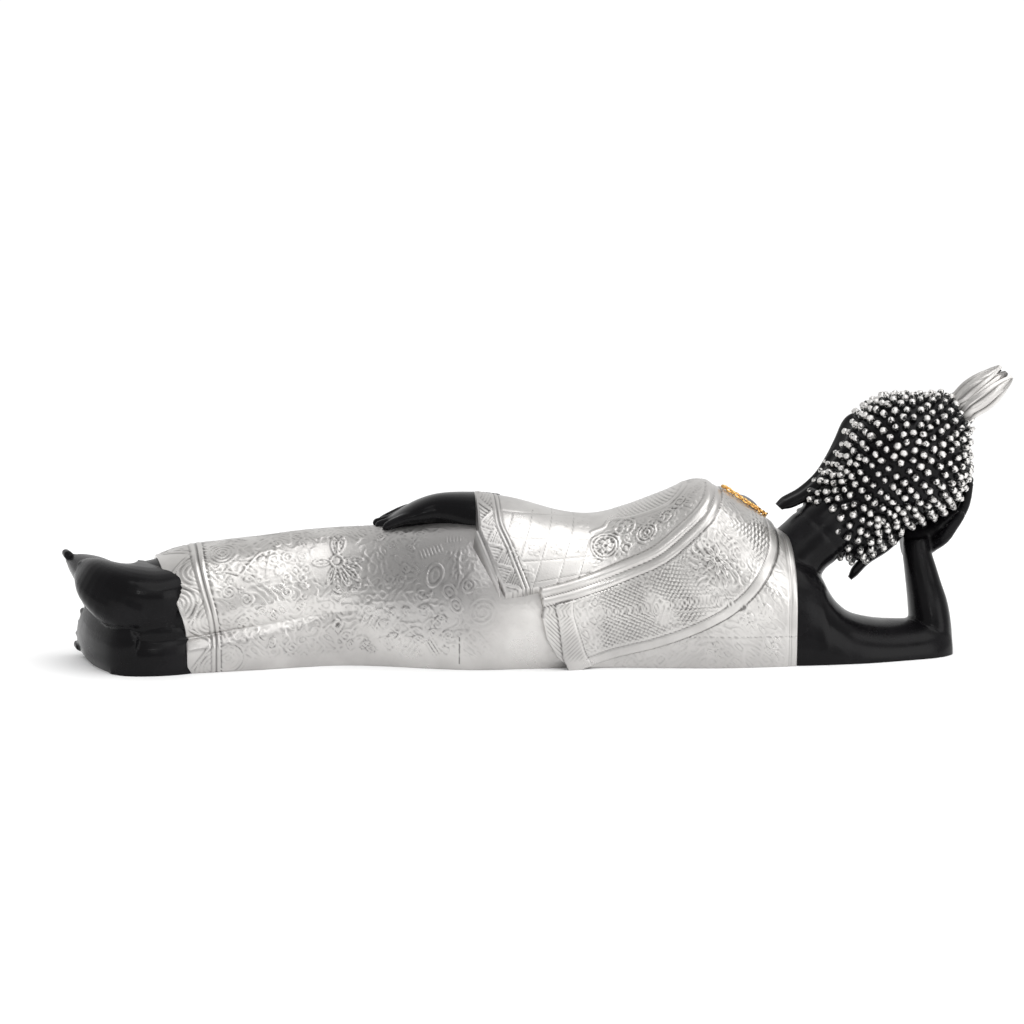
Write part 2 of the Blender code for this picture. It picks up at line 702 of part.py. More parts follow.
def centre(objects):
    """Moves everything so that the origin lies under the middle of the whole, on the floor."""
    corners = [v.co for obj in objects for v in obj.data.vertices]
    shift = Vector([(min(c[i] for c in corners) + max(c[i] for c in corners)) / 2 for i in range(3)])
    shift.z = min(c.z for c in corners)
    for obj in objects:
        obj.data.transform(Matrix.Translation(-shift))


def main():
    for obj in list(bpy.data.objects):
        bpy.data.objects.remove(obj)
    body = figure()
    tree = BVHTree.FromObject(body, bpy.context.evaluated_depsgraph_get())
    pieces = [body, chain(tree), stone(tree)]
    paints = [
        gloss("silver_and_black_paint", (0.62, 0.61, 0.6), 0.35, 0.6),
        gloss("gold_plate", (0.86, 0.6, 0.25), 0.25, 1.0),
        gloss("smoky_glass", (0.12, 0.12, 0.13), 0.08, 0.0),
    ]
    for piece, paint in zip(pieces, paints):
        piece.data.materials.clear()
        piece.data.materials.append(paint)
    centre(pieces)


main()
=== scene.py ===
import math

import bpy
import numpy as np
from mathutils import Matrix, Vector
from mathutils.bvhtree import BVHTree


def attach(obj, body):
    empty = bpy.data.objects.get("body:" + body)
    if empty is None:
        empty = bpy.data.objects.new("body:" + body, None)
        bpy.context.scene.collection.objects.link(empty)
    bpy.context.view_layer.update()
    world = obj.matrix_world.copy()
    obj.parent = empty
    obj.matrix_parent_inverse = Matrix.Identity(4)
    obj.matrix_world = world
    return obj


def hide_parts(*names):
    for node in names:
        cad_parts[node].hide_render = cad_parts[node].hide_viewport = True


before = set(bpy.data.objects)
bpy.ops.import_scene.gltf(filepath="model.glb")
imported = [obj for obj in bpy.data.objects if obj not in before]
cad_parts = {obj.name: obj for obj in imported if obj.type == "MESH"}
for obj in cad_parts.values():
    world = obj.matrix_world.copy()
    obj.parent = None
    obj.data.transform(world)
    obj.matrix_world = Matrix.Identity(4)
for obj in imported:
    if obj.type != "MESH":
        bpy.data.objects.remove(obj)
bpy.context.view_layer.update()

mm = 0.001
originShift = Vector((0.003052, -0.002796, 0.0))  # from the figure's own axes to the middle of the CAD box
bodyName = "root"
figureNode = "cast_figure"


# Small tools

def deselectAll():
    if bpy.context.object and bpy.context.object.mode != "OBJECT":
        bpy.ops.object.mode_set(mode="OBJECT")
    bpy.ops.object.select_all(action="DESELECT")


def select(piece):
    deselectAll()
    piece.select_set(True)
    bpy.context.view_layer.objects.active = piece


def toWorld(point):
    return Vector(point) * mm - originShift


def applyAll(piece):
    select(piece)
    for modifier in list(piece.modifiers):
        bpy.ops.object.modifier_apply(modifier=modifier.name)


def editAll(piece, step, **settings):  # one edit-mode step on the whole piece
    select(piece)
    bpy.ops.object.mode_set(mode="EDIT")
    bpy.ops.mesh.select_all(action="SELECT")
    step(**settings)
    bpy.ops.object.mode_set(mode="OBJECT")


def turnOutwards(piece):
    editAll(piece, bpy.ops.mesh.normals_make_consistent, inside=False)


def joined(name, pieces):
    deselectAll()
    for piece in pieces:
        piece.select_set(True)
    bpy.context.view_layer.objects.active = pieces[0]
    if len(pieces) > 1:
        bpy.ops.object.join()
    whole = bpy.context.object
    whole.name = name
    whole.data.name = name
    return whole


def finishPiece(piece, material, node=figureNode, angle=None):
    select(piece)
    bpy.ops.object.transform_apply(location=True, rotation=True, scale=True)
    if angle is None:
        bpy.ops.object.shade_smooth()
    else:
        bpy.ops.object.shade_smooth_by_angle(angle=math.radians(angle))
    piece.data.materials.clear()
    piece.data.materials.append(material)
    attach(piece, bodyName)
    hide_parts(node)
    deselectAll()
    return piece


def setAttribute(mesh, name, values):
    mesh.attributes.new(name, "FLOAT", "POINT").data.foreach_set("value", np.ascontiguousarray(values, np.float32))


def ramp(x, start, end):  # smoothly from 0 to 1
    t = np.clip((x - start) / (end - start), 0.0, 1.0)
    return t * t * (3 - 2 * t)


def line(distance, width=0.32):  # 1 on the line, fading to 0 beside it
    return np.exp(-((distance / width) ** 2))


def wrapped(x, period):  # distance to the nearest whole period
    return (x / period - np.round(x / period)) * period


def curveThrough(table, x):  # smooth values of a table's columns at x, which is its first column
    rows = np.array(table, float)
    x = np.clip(np.asarray(x, float), rows[0, 0], rows[-1, 0])
    k = np.clip(np.searchsorted(rows[:, 0], x, side="right") - 1, 0, len(rows) - 2)
    a, b = rows[k], rows[k + 1]
    before, after = rows[np.maximum(k - 1, 0)], rows[np.minimum(k + 2, len(rows) - 1)]
    span = b[:, :1] - a[:, :1]
    t = (x[:, None] - a[:, :1]) / span
    slopeA = (b - before) / (b[:, :1] - before[:, :1]) * span
    slopeB = (after - a) / (after[:, :1] - a[:, :1]) * span
    blend = a * (2 * t**3 - 3 * t**2 + 1) + slopeA * (t**3 - 2 * t**2 + t)
    return (blend + b * (3 * t**2 - 2 * t**3) + slopeB * (t**3 - t**2))[:, 1:]


def smoothLine(points, step=1.0):  # a drawn line's points, spread evenly on a smooth curve
    points = np.array(points, float)
    walked = np.concatenate([[0.0], np.cumsum(np.hypot(*np.diff(points, axis=0).T))])
    places = np.linspace(0, walked[-1], max(3, int(walked[-1] / step)))
    return curveThrough(np.column_stack([walked, points]), places)


def alongLine(points, x, z):  # distance to a line, which side of it, and how far along it
    best = np.full(x.shape, 1e9)
    side = np.zeros(x.shape)
    along = np.zeros(x.shape)
    walked = 0.0
    for (ax, az), (bx, bz) in zip(points, points[1:]):
        dx, dz = bx - ax, bz - az
        run = math.hypot(dx, dz)
        t = np.clip(((x - ax) * dx + (z - az) * dz) / run**2, 0, 1)
        distance = np.hypot(x - ax - t * dx, z - az - t * dz)
        nearer = distance < best
        best = np.where(nearer, distance, best)
        side = np.where(nearer, np.sign((x - ax) * dz - (z - az) * dx), side)
        along = np.where(nearer, walked + t * run, along)
        walked += run
    return best, side, along


def insideOf(outline, x, z):  # distance inside a closed outline, negative outside it
    closed = list(outline) + [outline[0]]
    distance = alongLine(closed, x, z)[0]
    crossings = np.zeros(x.shape, bool)
    for (ax, az), (bx, bz) in zip(closed, closed[1:]):
        if az != bz:
            crossings ^= ((az > z) != (bz > z)) & (x < (bx - ax) * (z - az) / (bz - az) + ax)
    return np.where(crossings, distance, -distance)


# Finishes

class Finish:  # a material, or the studio's world, and the nodes that build it
    def __init__(self, name=None, tree=None):
        if name:
            self.material = bpy.data.materials.new(name)
            self.material.use_nodes = True
            tree = self.material.node_tree
        self.nodes, self.links = tree.nodes, tree.links
        self.shader = self.nodes.get("Principled BSDF")

    def feed(self, socket, value):
        if isinstance(value, bpy.types.NodeSocket):
            self.links.new(value, socket)
        else:
            socket.default_value = value

    def add(self, kind, **inputs):
        node = self.nodes.new(kind)
        for key, value in inputs.items():
            self.feed(node.inputs[key.replace("_", " ")], value)
        return node

    def set(self, **inputs):
        for key, value in inputs.items():
            self.feed(self.shader.inputs[key.replace("_", " ")], value)

    def place(self):
        return self.nodes.new("ShaderNodeTexCoord").outputs["Object"]

    def noise(self, scale, detail=4.0, rough=0.55):
        return self.add("ShaderNodeTexNoise", Vector=self.place(), Scale=scale, Detail=detail,
                        Roughness=rough).outputs["Fac"]

    def attribute(self, name):
        node = self.nodes.new("ShaderNodeAttribute")
        node.attribute_name = name
        return node.outputs["Fac"]

    def ramp(self, source, start, end, low=0.0, high=1.0):
        node = self.add("ShaderNodeMapRange", Value=source, From_Min=start, From_Max=end, To_Min=low, To_Max=high)
        node.interpolation_type = "SMOOTHSTEP"
        return node.outputs["Result"]

    def blend(self, share, first, second):
        mix = self.nodes.new("ShaderNodeMix")
        mix.data_type = "RGBA"
        self.feed(mix.inputs[0], share)
        for socket, value in zip([s for s in mix.inputs if s.type == "RGBA"], (first, second)):
            self.feed(socket, (*value, 1.0) if isinstance(value, tuple) else value)
        return [s for s in mix.outputs if s.type == "RGBA"][0]

    def maths(self, a, b, operation="MULTIPLY"):
        node = self.nodes.new("ShaderNodeMath")
        node.operation = operation
        self.feed(node.inputs[0], a)
        self.feed(node.inputs[1], b)
        return node.outputs[0]

    def distance(self, point):
        node = self.nodes.new("ShaderNodeVectorMath")
        node.operation = "DISTANCE"
        self.feed(node.inputs[0], self.place())
        self.feed(node.inputs[1], point)
        return node.outputs["Value"]

    def bump(self, source, strength, distance):
        node = self.add("ShaderNodeBump", Height=source, Strength=strength, Distance=distance)
        self.set(Normal=node.outputs["Normal"])


silverPaint = {
    "bright": (0.665, 0.65, 0.63),
    "dull": (0.54, 0.525, 0.51),
    # colour of the patina in the carved lines and of the painted shade in recesses
    "crevicePatinaAndShade": (0.13, 0.125, 0.12),
    # colour of the painted shade laid on the hip and near the floor
    "paintedShade": (0.22, 0.215, 0.22),
    "paintedShadePlace": (-0.052, -0.036, 0.046),
    "paintedShadeByPlace": (0.012, 0.058, 0.52, 0.0),  # painted shade on the hip: between which distances, and from how much to none
    "paintedShadeByHeight": (0.0, 0.03, 0.34, 0.0),  # and painted shade near the floor
    "metallic": 0.93,
    "roughness": (0.26, 0.38),
}


def antiquedSilverWithPaintedShade():
    finish = Finish("antiqued_silver_paint_with_painted_shade")
    patches = finish.noise(45.0, 5.0)
    paint = finish.blend(finish.ramp(patches, 0.35, 0.7), silverPaint["bright"], silverPaint["dull"])
    # patina in the carved lines, and painted shade in recesses: at the foot of layers and rolls, inside turned-in
    # rims, at the flame's base
    patinaAndShade = finish.ramp(finish.attribute("hollow"), 0.05, 0.85, 0.0, 0.9)
    colour = finish.blend(patinaAndShade, paint, silverPaint["crevicePatinaAndShade"])
    # painted shade: darker towards a place on the hip and near the floor, where shade falls
    paintedShadeOnHip = finish.ramp(finish.distance(silverPaint["paintedShadePlace"]), *silverPaint["paintedShadeByPlace"])
    height = finish.add("ShaderNodeSeparateXYZ", Vector=finish.place()).outputs["Z"]
    paintedShadeNearFloor = finish.ramp(height, *silverPaint["paintedShadeByHeight"])
    colour = finish.blend(finish.maths(paintedShadeOnHip, paintedShadeNearFloor, "MAXIMUM"), colour, silverPaint["paintedShade"])
    finish.set(Base_Color=colour, Roughness=finish.ramp(patches, 0.3, 0.7, *silverPaint["roughness"]),
               Metallic=silverPaint["metallic"])
    finish.bump(finish.noise(1500.0, 3.0, 0.6), 0.22, 0.0003)
    return finish.material


blackGloss = {
    "colour": (0.0035, 0.0033, 0.0038),
    "smeared": (0.007, 0.0066, 0.0075),
    "roughness": (0.2, 0.3),
    "specular": 0.12,
    "fleck": (0.62, 0.36, 0.1),
    "fleckReach": (0.0015, 0.0048),
}


def glossBlack(name, fleckPlace=None):
    finish = Finish(name)
    smears = finish.noise(60.0)
    colour = finish.blend(finish.ramp(smears, 0.4, 0.8), blackGloss["colour"], blackGloss["smeared"])
    if fleckPlace:  # a few specks where the paint is chipped, near one place
        near = finish.ramp(finish.distance(fleckPlace), *blackGloss["fleckReach"], 1.0, 0.0)
        specks = finish.ramp(finish.noise(1400.0, 2.0), 0.62, 0.66)
        colour = finish.blend(finish.maths(near, specks), colour, blackGloss["fleck"])
    finish.set(Base_Color=colour, Roughness=finish.ramp(smears, 0.35, 0.7, *blackGloss["roughness"]),
               Specular_IOR_Level=blackGloss["specular"])
    finish.bump(finish.noise(240.0, 2.0), 0.10, 0.0004)
    return finish.material


curlPaint = {
    "black": (0.003, 0.003, 0.0034),
    "silver": (0.75, 0.735, 0.715),
    "edge": (0.62, 0.74),  # shares of a curl's height between which the silver starts
    "ragged": 0.34,
    "metallic": 0.85,
    "roughness": (0.28, 0.36),
}


def tippedCurls():
    finish = Finish("black_curls_with_silver_tips")
    ragged = finish.ramp(finish.noise(900.0, 3.0), 0.32, 0.68, -curlPaint["ragged"], curlPaint["ragged"])
    silver = finish.ramp(finish.maths(finish.attribute("tip"), ragged, "ADD"), *curlPaint["edge"])
    finish.set(Base_Color=finish.blend(silver, curlPaint["black"], curlPaint["silver"]),
               Metallic=finish.maths(silver, curlPaint["metallic"]),
               Roughness=finish.ramp(silver, 0.0, 1.0, *curlPaint["roughness"]))
    finish.bump(finish.noise(1300.0, 3.0, 0.6), 0.35, 0.0003)
    return finish.material


gold = {"bright": (0.95, 0.60, 0.22), "worn": (0.70, 0.36, 0.10), "roughness": (0.16, 0.3)}


def goldPlate():
    finish = Finish("gold_plate")
    wear = finish.noise(500.0, 3.0)
    finish.set(Base_Color=finish.blend(finish.ramp(wear, 0.35, 0.75), gold["bright"], gold["worn"]),
               Metallic=1.0, Roughness=finish.ramp(wear, 0.3, 0.7, *gold["roughness"]))
    return finish.material


glass = {"dark": (0.05, 0.05, 0.058), "cloudy": (0.12, 0.12, 0.135), "roughness": 0.05, "specular": 0.7,
         "coat": 0.6, "coatRoughness": 0.02}


def smokyGlass():
    finish = Finish("smoky_glass")
    cloud = finish.ramp(finish.noise(220.0, 2.0), 0.3, 0.7)
    finish.set(Base_Color=finish.blend(cloud, glass["dark"], glass["cloudy"]), Roughness=glass["roughness"],
               Coat_Weight=glass["coat"], Coat_Roughness=glass["coatRoughness"], Specular_IOR_Level=glass["specular"])
    return finish.material


silverFinish = antiquedSilverWithPaintedShade()
skinFinish = glossBlack("gloss_black_skin")
curlFinish = tippedCurls()
goldFinish = goldPlate()
glassFinish = smokyGlass()
print("finishes ready")


# Pressed ornaments: each gives a height over its own two directions, in mm

def turned(u, v, way):
    return u * math.cos(way) + v * math.sin(way), -u * math.sin(way) + v * math.cos(way)


def swirls(u, v, seed, size=9.0, tightness=5.5):  # bands of equal height in a field of random waves
    random = np.random.default_rng(seed)
    waves = 26
    field = np.zeros(u.shape)
    for wave in range(waves):
        way, length, start = random.uniform(0, 2 * math.pi), size * random.uniform(0.75, 1.6), random.uniform(0, 6.28)
        field += np.cos((u * math.cos(way) + v * math.sin(way)) * 2 * math.pi / length + start)
    return line(wrapped(field / math.sqrt(waves / 2) * tightness, 2 * math.pi), 1.0) - 0.35


def rosette(u, v, petals, size, middle):
    r, way = np.hypot(u, v), np.arctan2(v, u)
    turn = wrapped(way, 2 * math.pi / petals)
    a, b = r * np.cos(turn), r * np.sin(turn)
    share = np.clip((a - middle) / (size - middle), 0, 1)
    half = 0.62 * math.pi * size / petals * 0.62 * np.sin(math.pi * share) ** 0.8
    inPetal = (share > 0) & (share < 1)
    shape = line(np.abs(b) - half, 0.3) * inPetal + 0.6 * line(b, 0.22) * (share > 0.1) * (share < 0.8)
    pillow = 0.25 * inPetal * (np.abs(b) < half)
    return shape + pillow + line(r - middle, 0.34) + 0.8 * line(r, 0.5 * middle)


def leafBlade(u, v, length, width, way, veins=1.3):
    a, b = turned(u, v, way)
    share = np.clip(a / length, 0, 1)
    half = 0.5 * width * np.sin(math.pi * share) ** 0.8
    inside = (a > 0) & (a < length) & (np.abs(b) < half)
    return (line(np.abs(b) - half, 0.28) * (a > 0) * (a < length) + 0.7 * line(b, 0.24) * inside
            + 0.5 * line(wrapped(a - 0.9 * np.abs(b), veins), 0.24) * inside)


def spiral(u, v, size, turns, hand):
    r, way = np.hypot(u, v), np.arctan2(v, u)
    pitch = size / turns
    coil = line(wrapped(r - hand * pitch * way / (2 * math.pi), pitch), 0.28) * ramp(r, 0.2 * pitch, 0.6 * pitch)
    return coil * (1 - ramp(r, size * 0.8, size))


def hoops(u, v, radii):
    r = np.hypot(u, v)
    return sum(line(r - radius, 0.3) for radius in radii)


def strokes(u, v, width, height, way, pitch):
    a, b = turned(u, v, way)
    edge = (1 - ramp(np.abs(a), width / 2 - 0.6, width / 2)) * (1 - ramp(np.abs(b), height / 2 - 0.6, height / 2))
    return line(wrapped(a, pitch), 0.3) * edge


def loopRing(u, v, width, height, way):
    a, b = turned(u, v, way)
    r = np.hypot(a / (width / 2), b / (height / 2))
    scale = min(width, height) / 2
    return line((r - 1) * scale, 0.32) + 0.6 * line((r - 0.45) * scale, 0.3)


def drawnLine(u, v, points, width):
    return line(alongLine(points, u, v)[0], width)


class Carving:  # heights over a cloth's surface, and how ornaments are stamped on it
    def __init__(self, points, turns):
        self.x, self.y, self.z = points[..., 0], points[..., 1], points[..., 2]
        steps = np.hypot(np.diff(self.y, axis=1), np.diff(self.z, axis=1))
        walked = np.concatenate([np.zeros((len(self.x), 1)), np.cumsum(steps, axis=1)], axis=1)
        self.top = int(np.argmin(np.abs(turns - math.pi / 2)))
        self.s = walked - walked[:, self.top:self.top + 1]
        self.height = np.zeros(self.x.shape)

    def across(self, x, z, front):  # how far round from the top line a height on the back or front lies
        i = int(np.argmin(np.abs(self.x[:, self.top] - x)))
        half = slice(0, self.top + 1) if front else slice(self.top, None)
        j = int(np.argmin(np.abs(self.z[i, half] - z) + (np.abs(self.z[i, half]) < 1e-6) * 50))
        return self.s[i, half][j]

    def stamp(self, x, z, reach, shape, depth, clear=0.0, front=False):
        s = self.across(x, z, front)
        u, v = self.x - x, self.s - s
        near = (np.abs(u) < reach) & (np.abs(v) < reach)
        if clear:
            r = np.hypot(u[near], v[near])
            self.height[near] *= 1 - clear * (1 - ramp(r, reach * 0.75, reach))
        self.height[near] += depth * shape(u[near], v[near])

    def ridge(self, height, distance, width=0.32):
        self.height += height * line(distance, width)

    def stampAll(self, depth, rows):  # x, z, reach, share of the depth, share cleared, ornament and its values
        for x, z, reach, share, clear, shape, *values in rows:
            self.stamp(x, z, reach, lambda u, v: shape(u, v, *values), depth * share, clear)


# Cloth surfaces

# x, then top, back and front of the section there, all in mm
skirtForm = [(-164, 48.0, -38.2, 15.0), (-152, 50.4, -38.0, 16.0), (-136, 53.0, -35.0, 16.0),
             (-120, 55.2, -31.8, 16.0), (-105, 56.9, -28.0, 16.5), (-88, 57.9, -25.5, 17.5),
             (-70, 58.6, -28.5, 19.5), (-50, 60.0, -35.5, 21.5), (-30, 61.6, -40.5, 22.5),
             (-10, 61.5, -40.0, 22.5), (10, 59.5, -38.5, 21.0), (34, 58.0, -35.5, 19.0)]
robeForm = [(-27, 73.6, -42.0, 24.0), (-10, 70.5, -42.5, 24.0), (10, 64.9, -40.5, 22.5), (24, 63.7, -38.5, 20.5),
            (37, 66.6, -39.0, 20.0), (55, 73.2, -41.5, 20.5), (70, 78.8, -43.0, 20.5), (80, 74.0, -43.5, 20.5),
            (93, 65.2, -43.0, 20.0), (104, 57.6, -42.2, 19.5), (110, 53.8, -41.6, 19.0)]
# x, then height and depth of the crease between the legs
legCrease = [(-165, 13.0, 4.2), (-142, 16.4, 3.8), (-122, 19.2, 3.0), (-96, 23.2, 1.2), (-78, 25.0, 0.0)]


cloth = {
    "topPower": 2.15,  # how square a section is: 2 is an ellipse
    "skirtPower": 3.6,
    "robePower": 6.0,
    "creaseAbove": 5.2,
    "creaseBelow": 3.0,
    "hemDrop": 3.0,
    "hemSlant": 0.2,
    "hemSweep": 9.5,
}


def clothPoints(form, x, turns, grow=0.0):
    top, back, front = curveThrough(form, x).T[:, :, None]
    c, s = np.cos(turns)[None, :], np.sin(turns)[None, :]
    power = np.where(s > 0, cloth["topPower"], cloth["skirtPower"] if form is skirtForm else cloth["robePower"])
    across = np.sign(c) * np.abs(c) ** (2 / power)
    up = np.sign(s) * np.abs(s) ** (2 / power)
    y = (front + back) / 2 + ((front - back) / 2 + grow) * across
    z = 0.4 * top + (0.6 * top + grow) * up
    px = np.broadcast_to(x[:, None], y.shape).copy()
    if form is skirtForm:
        height, depth = curveThrough(legCrease, x).T[:, :, None]
        away = z - height
        fold = line(away, np.where(away > 0, cloth["creaseAbove"], cloth["creaseBelow"]))
        y = y - np.sign(across) * depth * (0.72 * fold + 0.28 * np.exp(-np.abs(away) / 0.7)) \
            * np.minimum(1, 2 * np.abs(across))
        z = z - cloth["hemDrop"] * ramp(z, 20, 50) * (1 - ramp(px, -156, -140))
        px = px - (cloth["hemSlant"] * (y - back) + cloth["hemSweep"] * ramp(z, 14, 50)) * (1 - ramp(px, -160, -112))
    return np.stack([px, y, z], axis=-1)


def spreadTurns(form, x, fine, coarse):  # turns round the section, close together on the back
    turns = np.radians(np.linspace(-90, 270, 3601))
    ring = clothPoints(form, np.array([float(x)]), turns)[0]
    walked = np.concatenate([[0], np.cumsum(np.hypot(*np.diff(ring[:, 1:], axis=0).T))])
    above = np.where(ring[:, 2] >= 0)[0]
    first, last, top = walked[above[0]], walked[above[-1]], walked[np.argmin(np.abs(turns - math.pi / 2))]
    middle = top - 12
    places = np.concatenate([
        np.linspace(0, first, 5)[:-1],
        np.linspace(first, middle, int((middle - first) / coarse))[:-1],
        np.linspace(middle, last, int((last - middle) / fine))[:-1],
        np.linspace(last, walked[-1], 5)[:-1],
    ])
    return np.interp(places, walked, turns)


def outwards(points):
    alongX = np.gradient(points, axis=0)
    around = np.roll(points, -1, axis=1) - np.roll(points, 1, axis=1)
    normal = -np.cross(alongX, around)
    return normal / np.maximum(np.linalg.norm(normal, axis=-1, keepdims=True), 1e-9)


def hollowness(height, reach):  # how far each point lies under its surroundings
    blurred = height.copy()
    for shift in range(1, reach + 1):
        for axis in (0, 1):
            blurred += np.roll(height, shift, axis) + np.roll(height, -shift, axis)
    blurred /= 1 + 4 * reach
    return np.clip((blurred - height) / 0.16, 0, 1)


def edgeRings(form, x, turns, rows):  # rings past a cloth's end: how far in, and how far along
    rings = []
    for inwards, along in rows:
        ring = clothPoints(form, np.array([x]), turns, -inwards)
        ring[..., 0] += along
        rings.append(ring)
    return np.concatenate(rings)


def wrapGrid(name, points, hollow):  # a grid bent round into a closed tube with closed ends, above the floor
    points[..., 2] = np.maximum(points[..., 2], 0)
    columns, rows = points.shape[:2]
    bpy.ops.mesh.primitive_grid_add(x_subdivisions=columns - 1, y_subdivisions=rows, size=1)
    piece = bpy.context.object
    piece.name = name
    mesh = piece.data
    flat = np.empty(len(mesh.vertices) * 3, np.float32)
    mesh.vertices.foreach_get("co", flat)
    flat = flat.reshape(-1, 3)
    i = np.rint((flat[:, 0] + 0.5) * (columns - 1)).astype(int)
    j = np.rint((flat[:, 1] + 0.5) * rows).astype(int) % rows
    world = points[i, j] * mm - np.array(originShift)
    mesh.vertices.foreach_set("co", world.astype(np.float32).ravel())
    setAttribute(mesh, "hollow", hollow[i, j])
    editAll(piece, bpy.ops.mesh.remove_doubles, threshold=1e-7)
    editAll(piece, bpy.ops.mesh.fill_holes, sides=0)
    turnOutwards(piece)
    return piece


skirt = {
    "from": -153.0,
    "to": 34.0,
    "cell": 0.47,
    "frontCell": 1.1,
    "hemLines": (-142.0, -139.9),
    "hemEdge": -152.4,
    "depth": 0.27,
    "swirlDepth": 0.2,
    "strewnAlong": (-134, -34, 6.2),
    "strewnUp": (8, 54, 6.4),
    "flower": (-89.0, 45.6),
    "arc": 22.0,
    # the hem is turned in, with a round edge: how far in and how far along
    "rim": ((2.4, 1.5), (1.8, 0.1), (1.2, -0.25), (0.6, -0.42), (0.2, -0.25)),
    # painted shade on each of these rings, darker further in
    "rimPaintedShade": [[0.7], [0.5], [0.2], [0], [0]],
}

# x, z, reach, share of the depth, share of the ground cleared, ornament and its values
skirtOrnaments = [
    (-138.4, 50.0, 8, 0.8, 0.9, hoops, (1.4, 2.9, 4.5, 6.2)),  # scrolls and arcs by the hem
    (-136.0, 6.5, 9, 0.8, 0.6, hoops, (2.0, 5.6, 7.0)),
    (-135.5, 34.7, 4, 1, 0.9, spiral, 3.6, 2.5, 1),
    (-128.0, 31.0, 4, 1, 0.9, spiral, 3.4, 2.5, -1),
    (-130.0, 43.0, 14, 1.1, 0, drawnLine,
     [(-11, -1), (-6, -0.5), (0, 1.8), (2.5, -2.0), (7.5, -8.0), (13, -9.5)], 0.34),
    (-38.6, 55.6, 8, 1, 0.9, strokes, 9.0, 4.2, 0.05, 1.45),  # hatching and loops on the hip
    (-48.5, 50.5, 8, 1, 0.9, strokes, 10.0, 5.0, -0.25, 1.5),
    (-47.2, 40.9, 7, 1.2, 0.9, loopRing, 7.0, 9.6, 0.25),
    (-41.0, 34.2, 6, 1.2, 0.9, loopRing, 4.6, 7.4, -0.55),
    (-38.2, 28.6, 6, 1.1, 0.8, loopRing, 4.0, 7.0, -0.5),
    (-33.0, 37.0, 4, 1, 0.9, hoops, (1.2, 2.8)),
    (-27.0, 26.0, 9, 0.6, 0.6, spiral, 7.5, 3.4, 1),
    (-35.8, 45.0, 10, 1, 0, drawnLine, [(0, -7), (-1.2, -2), (-0.6, 4), (-2.0, 9)], 0.4),
    (-48.2, 9.9, 6, 1, 0.6, strokes, 3.4, 8.5, -0.5, 1.3),
    (-75.0, 19.8, 7, 1.3, 0.5, strokes, 11, 5.5, 0.45, 3.4),
]


def skirtCarving(carving, x):
    x2d = np.broadcast_to(x[:, None], carving.x.shape)
    s, z = carving.s, carving.z
    first, second = skirt["hemLines"]
    depth = skirt["depth"]
    body = ramp(x2d, second, second + 1.5) * (1 - ramp(x2d, -40, -14) * 0.75) * ramp(z, 2.5, 8)
    body *= 1 - 0.6 * ramp(z, 49, 56) * ramp(x2d, -60, -30)
    carving.height += skirt["swirlDepth"] * body * swirls(x2d, s, 3, 4.6, 2.3)
    random = np.random.default_rng(11)
    for column in np.arange(*skirt["strewnAlong"]):  # small spirals and leaves strewn between the large ones
        for row in np.arange(*skirt["strewnUp"]):
            px, pz = column + random.uniform(-1.8, 1.8), row + random.uniform(-1.8, 1.8)
            kind, way, hand = random.integers(0, 4), random.uniform(0, 6.28), random.choice([-1, 1])
            front = random.random() < 0.28
            size = random.uniform(2.0, 3.2)
            if kind == 0:
                carving.stamp(px, pz, size * 1.1, lambda u, v: spiral(u, v, size, 1.8, hand), depth, 0.7, front)
            elif kind < 3:
                carving.stamp(px, pz, size * 1.7, lambda u, v: leafBlade(u, v, 1.6 * size, size * 0.8, way), depth,
                              0.6, front)
    place = skirt["flower"]
    carving.stamp(*place, 13, lambda u, v: hoops(u, v, (2.5,)) * 1.2 + 0.6 * line(np.hypot(u, v), 1.2), depth, 0.9)
    for way, length, width in ((-1.68, 9.5, 3.0), (-1.32, 9.8, 3.0), (3.1, 8.0, 3.4), (1.55, 11.5, 3.4),
                               (1.15, 10.0, 2.8), (0.78, 10.5, 3.0), (0.42, 9.0, 2.8), (0.05, 9.0, 2.8),
                               (1.95, 8.5, 2.6)):
        carving.stamp(*place, 14, lambda u, v: leafBlade(u - 2.6 * math.cos(way), v - 2.6 * math.sin(way),
                                                         length, width, way, 2.2), depth * 1.15)
    carving.stampAll(depth, skirtOrnaments)
    carving.stamp(-89.2, 18.3, 4, lambda u, v: -1.6 * line(np.hypot(u, v * 0.5), 0.5) + hoops(u, v, (1.8,)), depth)
    carving.stamp(-37.0, 8.6, 8, lambda u, v: -1.5 * line(u, 0.22) * (np.abs(v) < 6.2), depth)
    # the hem's border: a double line, a zigzag and arcs
    flat = ramp(x2d, second + 0.9, second + 0.2)
    carving.height *= 1 - flat
    for place in (first, second):
        carving.ridge(0.32, x2d - place, 0.5)
        carving.ridge(-0.16, x2d - place - 1.05, 0.3)
    carving.ridge(-0.14, x2d - first + 0.9, 0.3)
    band = ramp(x2d, skirt["hemEdge"] + 0.8, skirt["hemEdge"] + 1.4) * (1 - ramp(x2d, first - 1.8, first - 1.2))
    a = (x2d - skirt["hemEdge"]) / (first - skirt["hemEdge"])
    arc, half = skirt["arc"], skirt["arc"] / 2
    zigzag = np.abs(wrapped(s, arc)) / half
    carving.ridge(band * 0.36, (zigzag - a) * 6.0, 0.34)
    apexRight = np.hypot(x2d - first, wrapped(s, arc))
    apexLeft = np.hypot(x2d - skirt["hemEdge"], wrapped(s + half, arc))
    carving.ridge(band * 0.2 * (zigzag < a - 0.08), wrapped(apexRight, 1.75), 0.3)
    everyOther = np.abs(wrapped(s + half, 2 * arc)) < half
    carving.ridge(band * 0.24 * (zigzag > a + 0.08) * everyOther, wrapped(apexLeft, 1.9), 0.34)


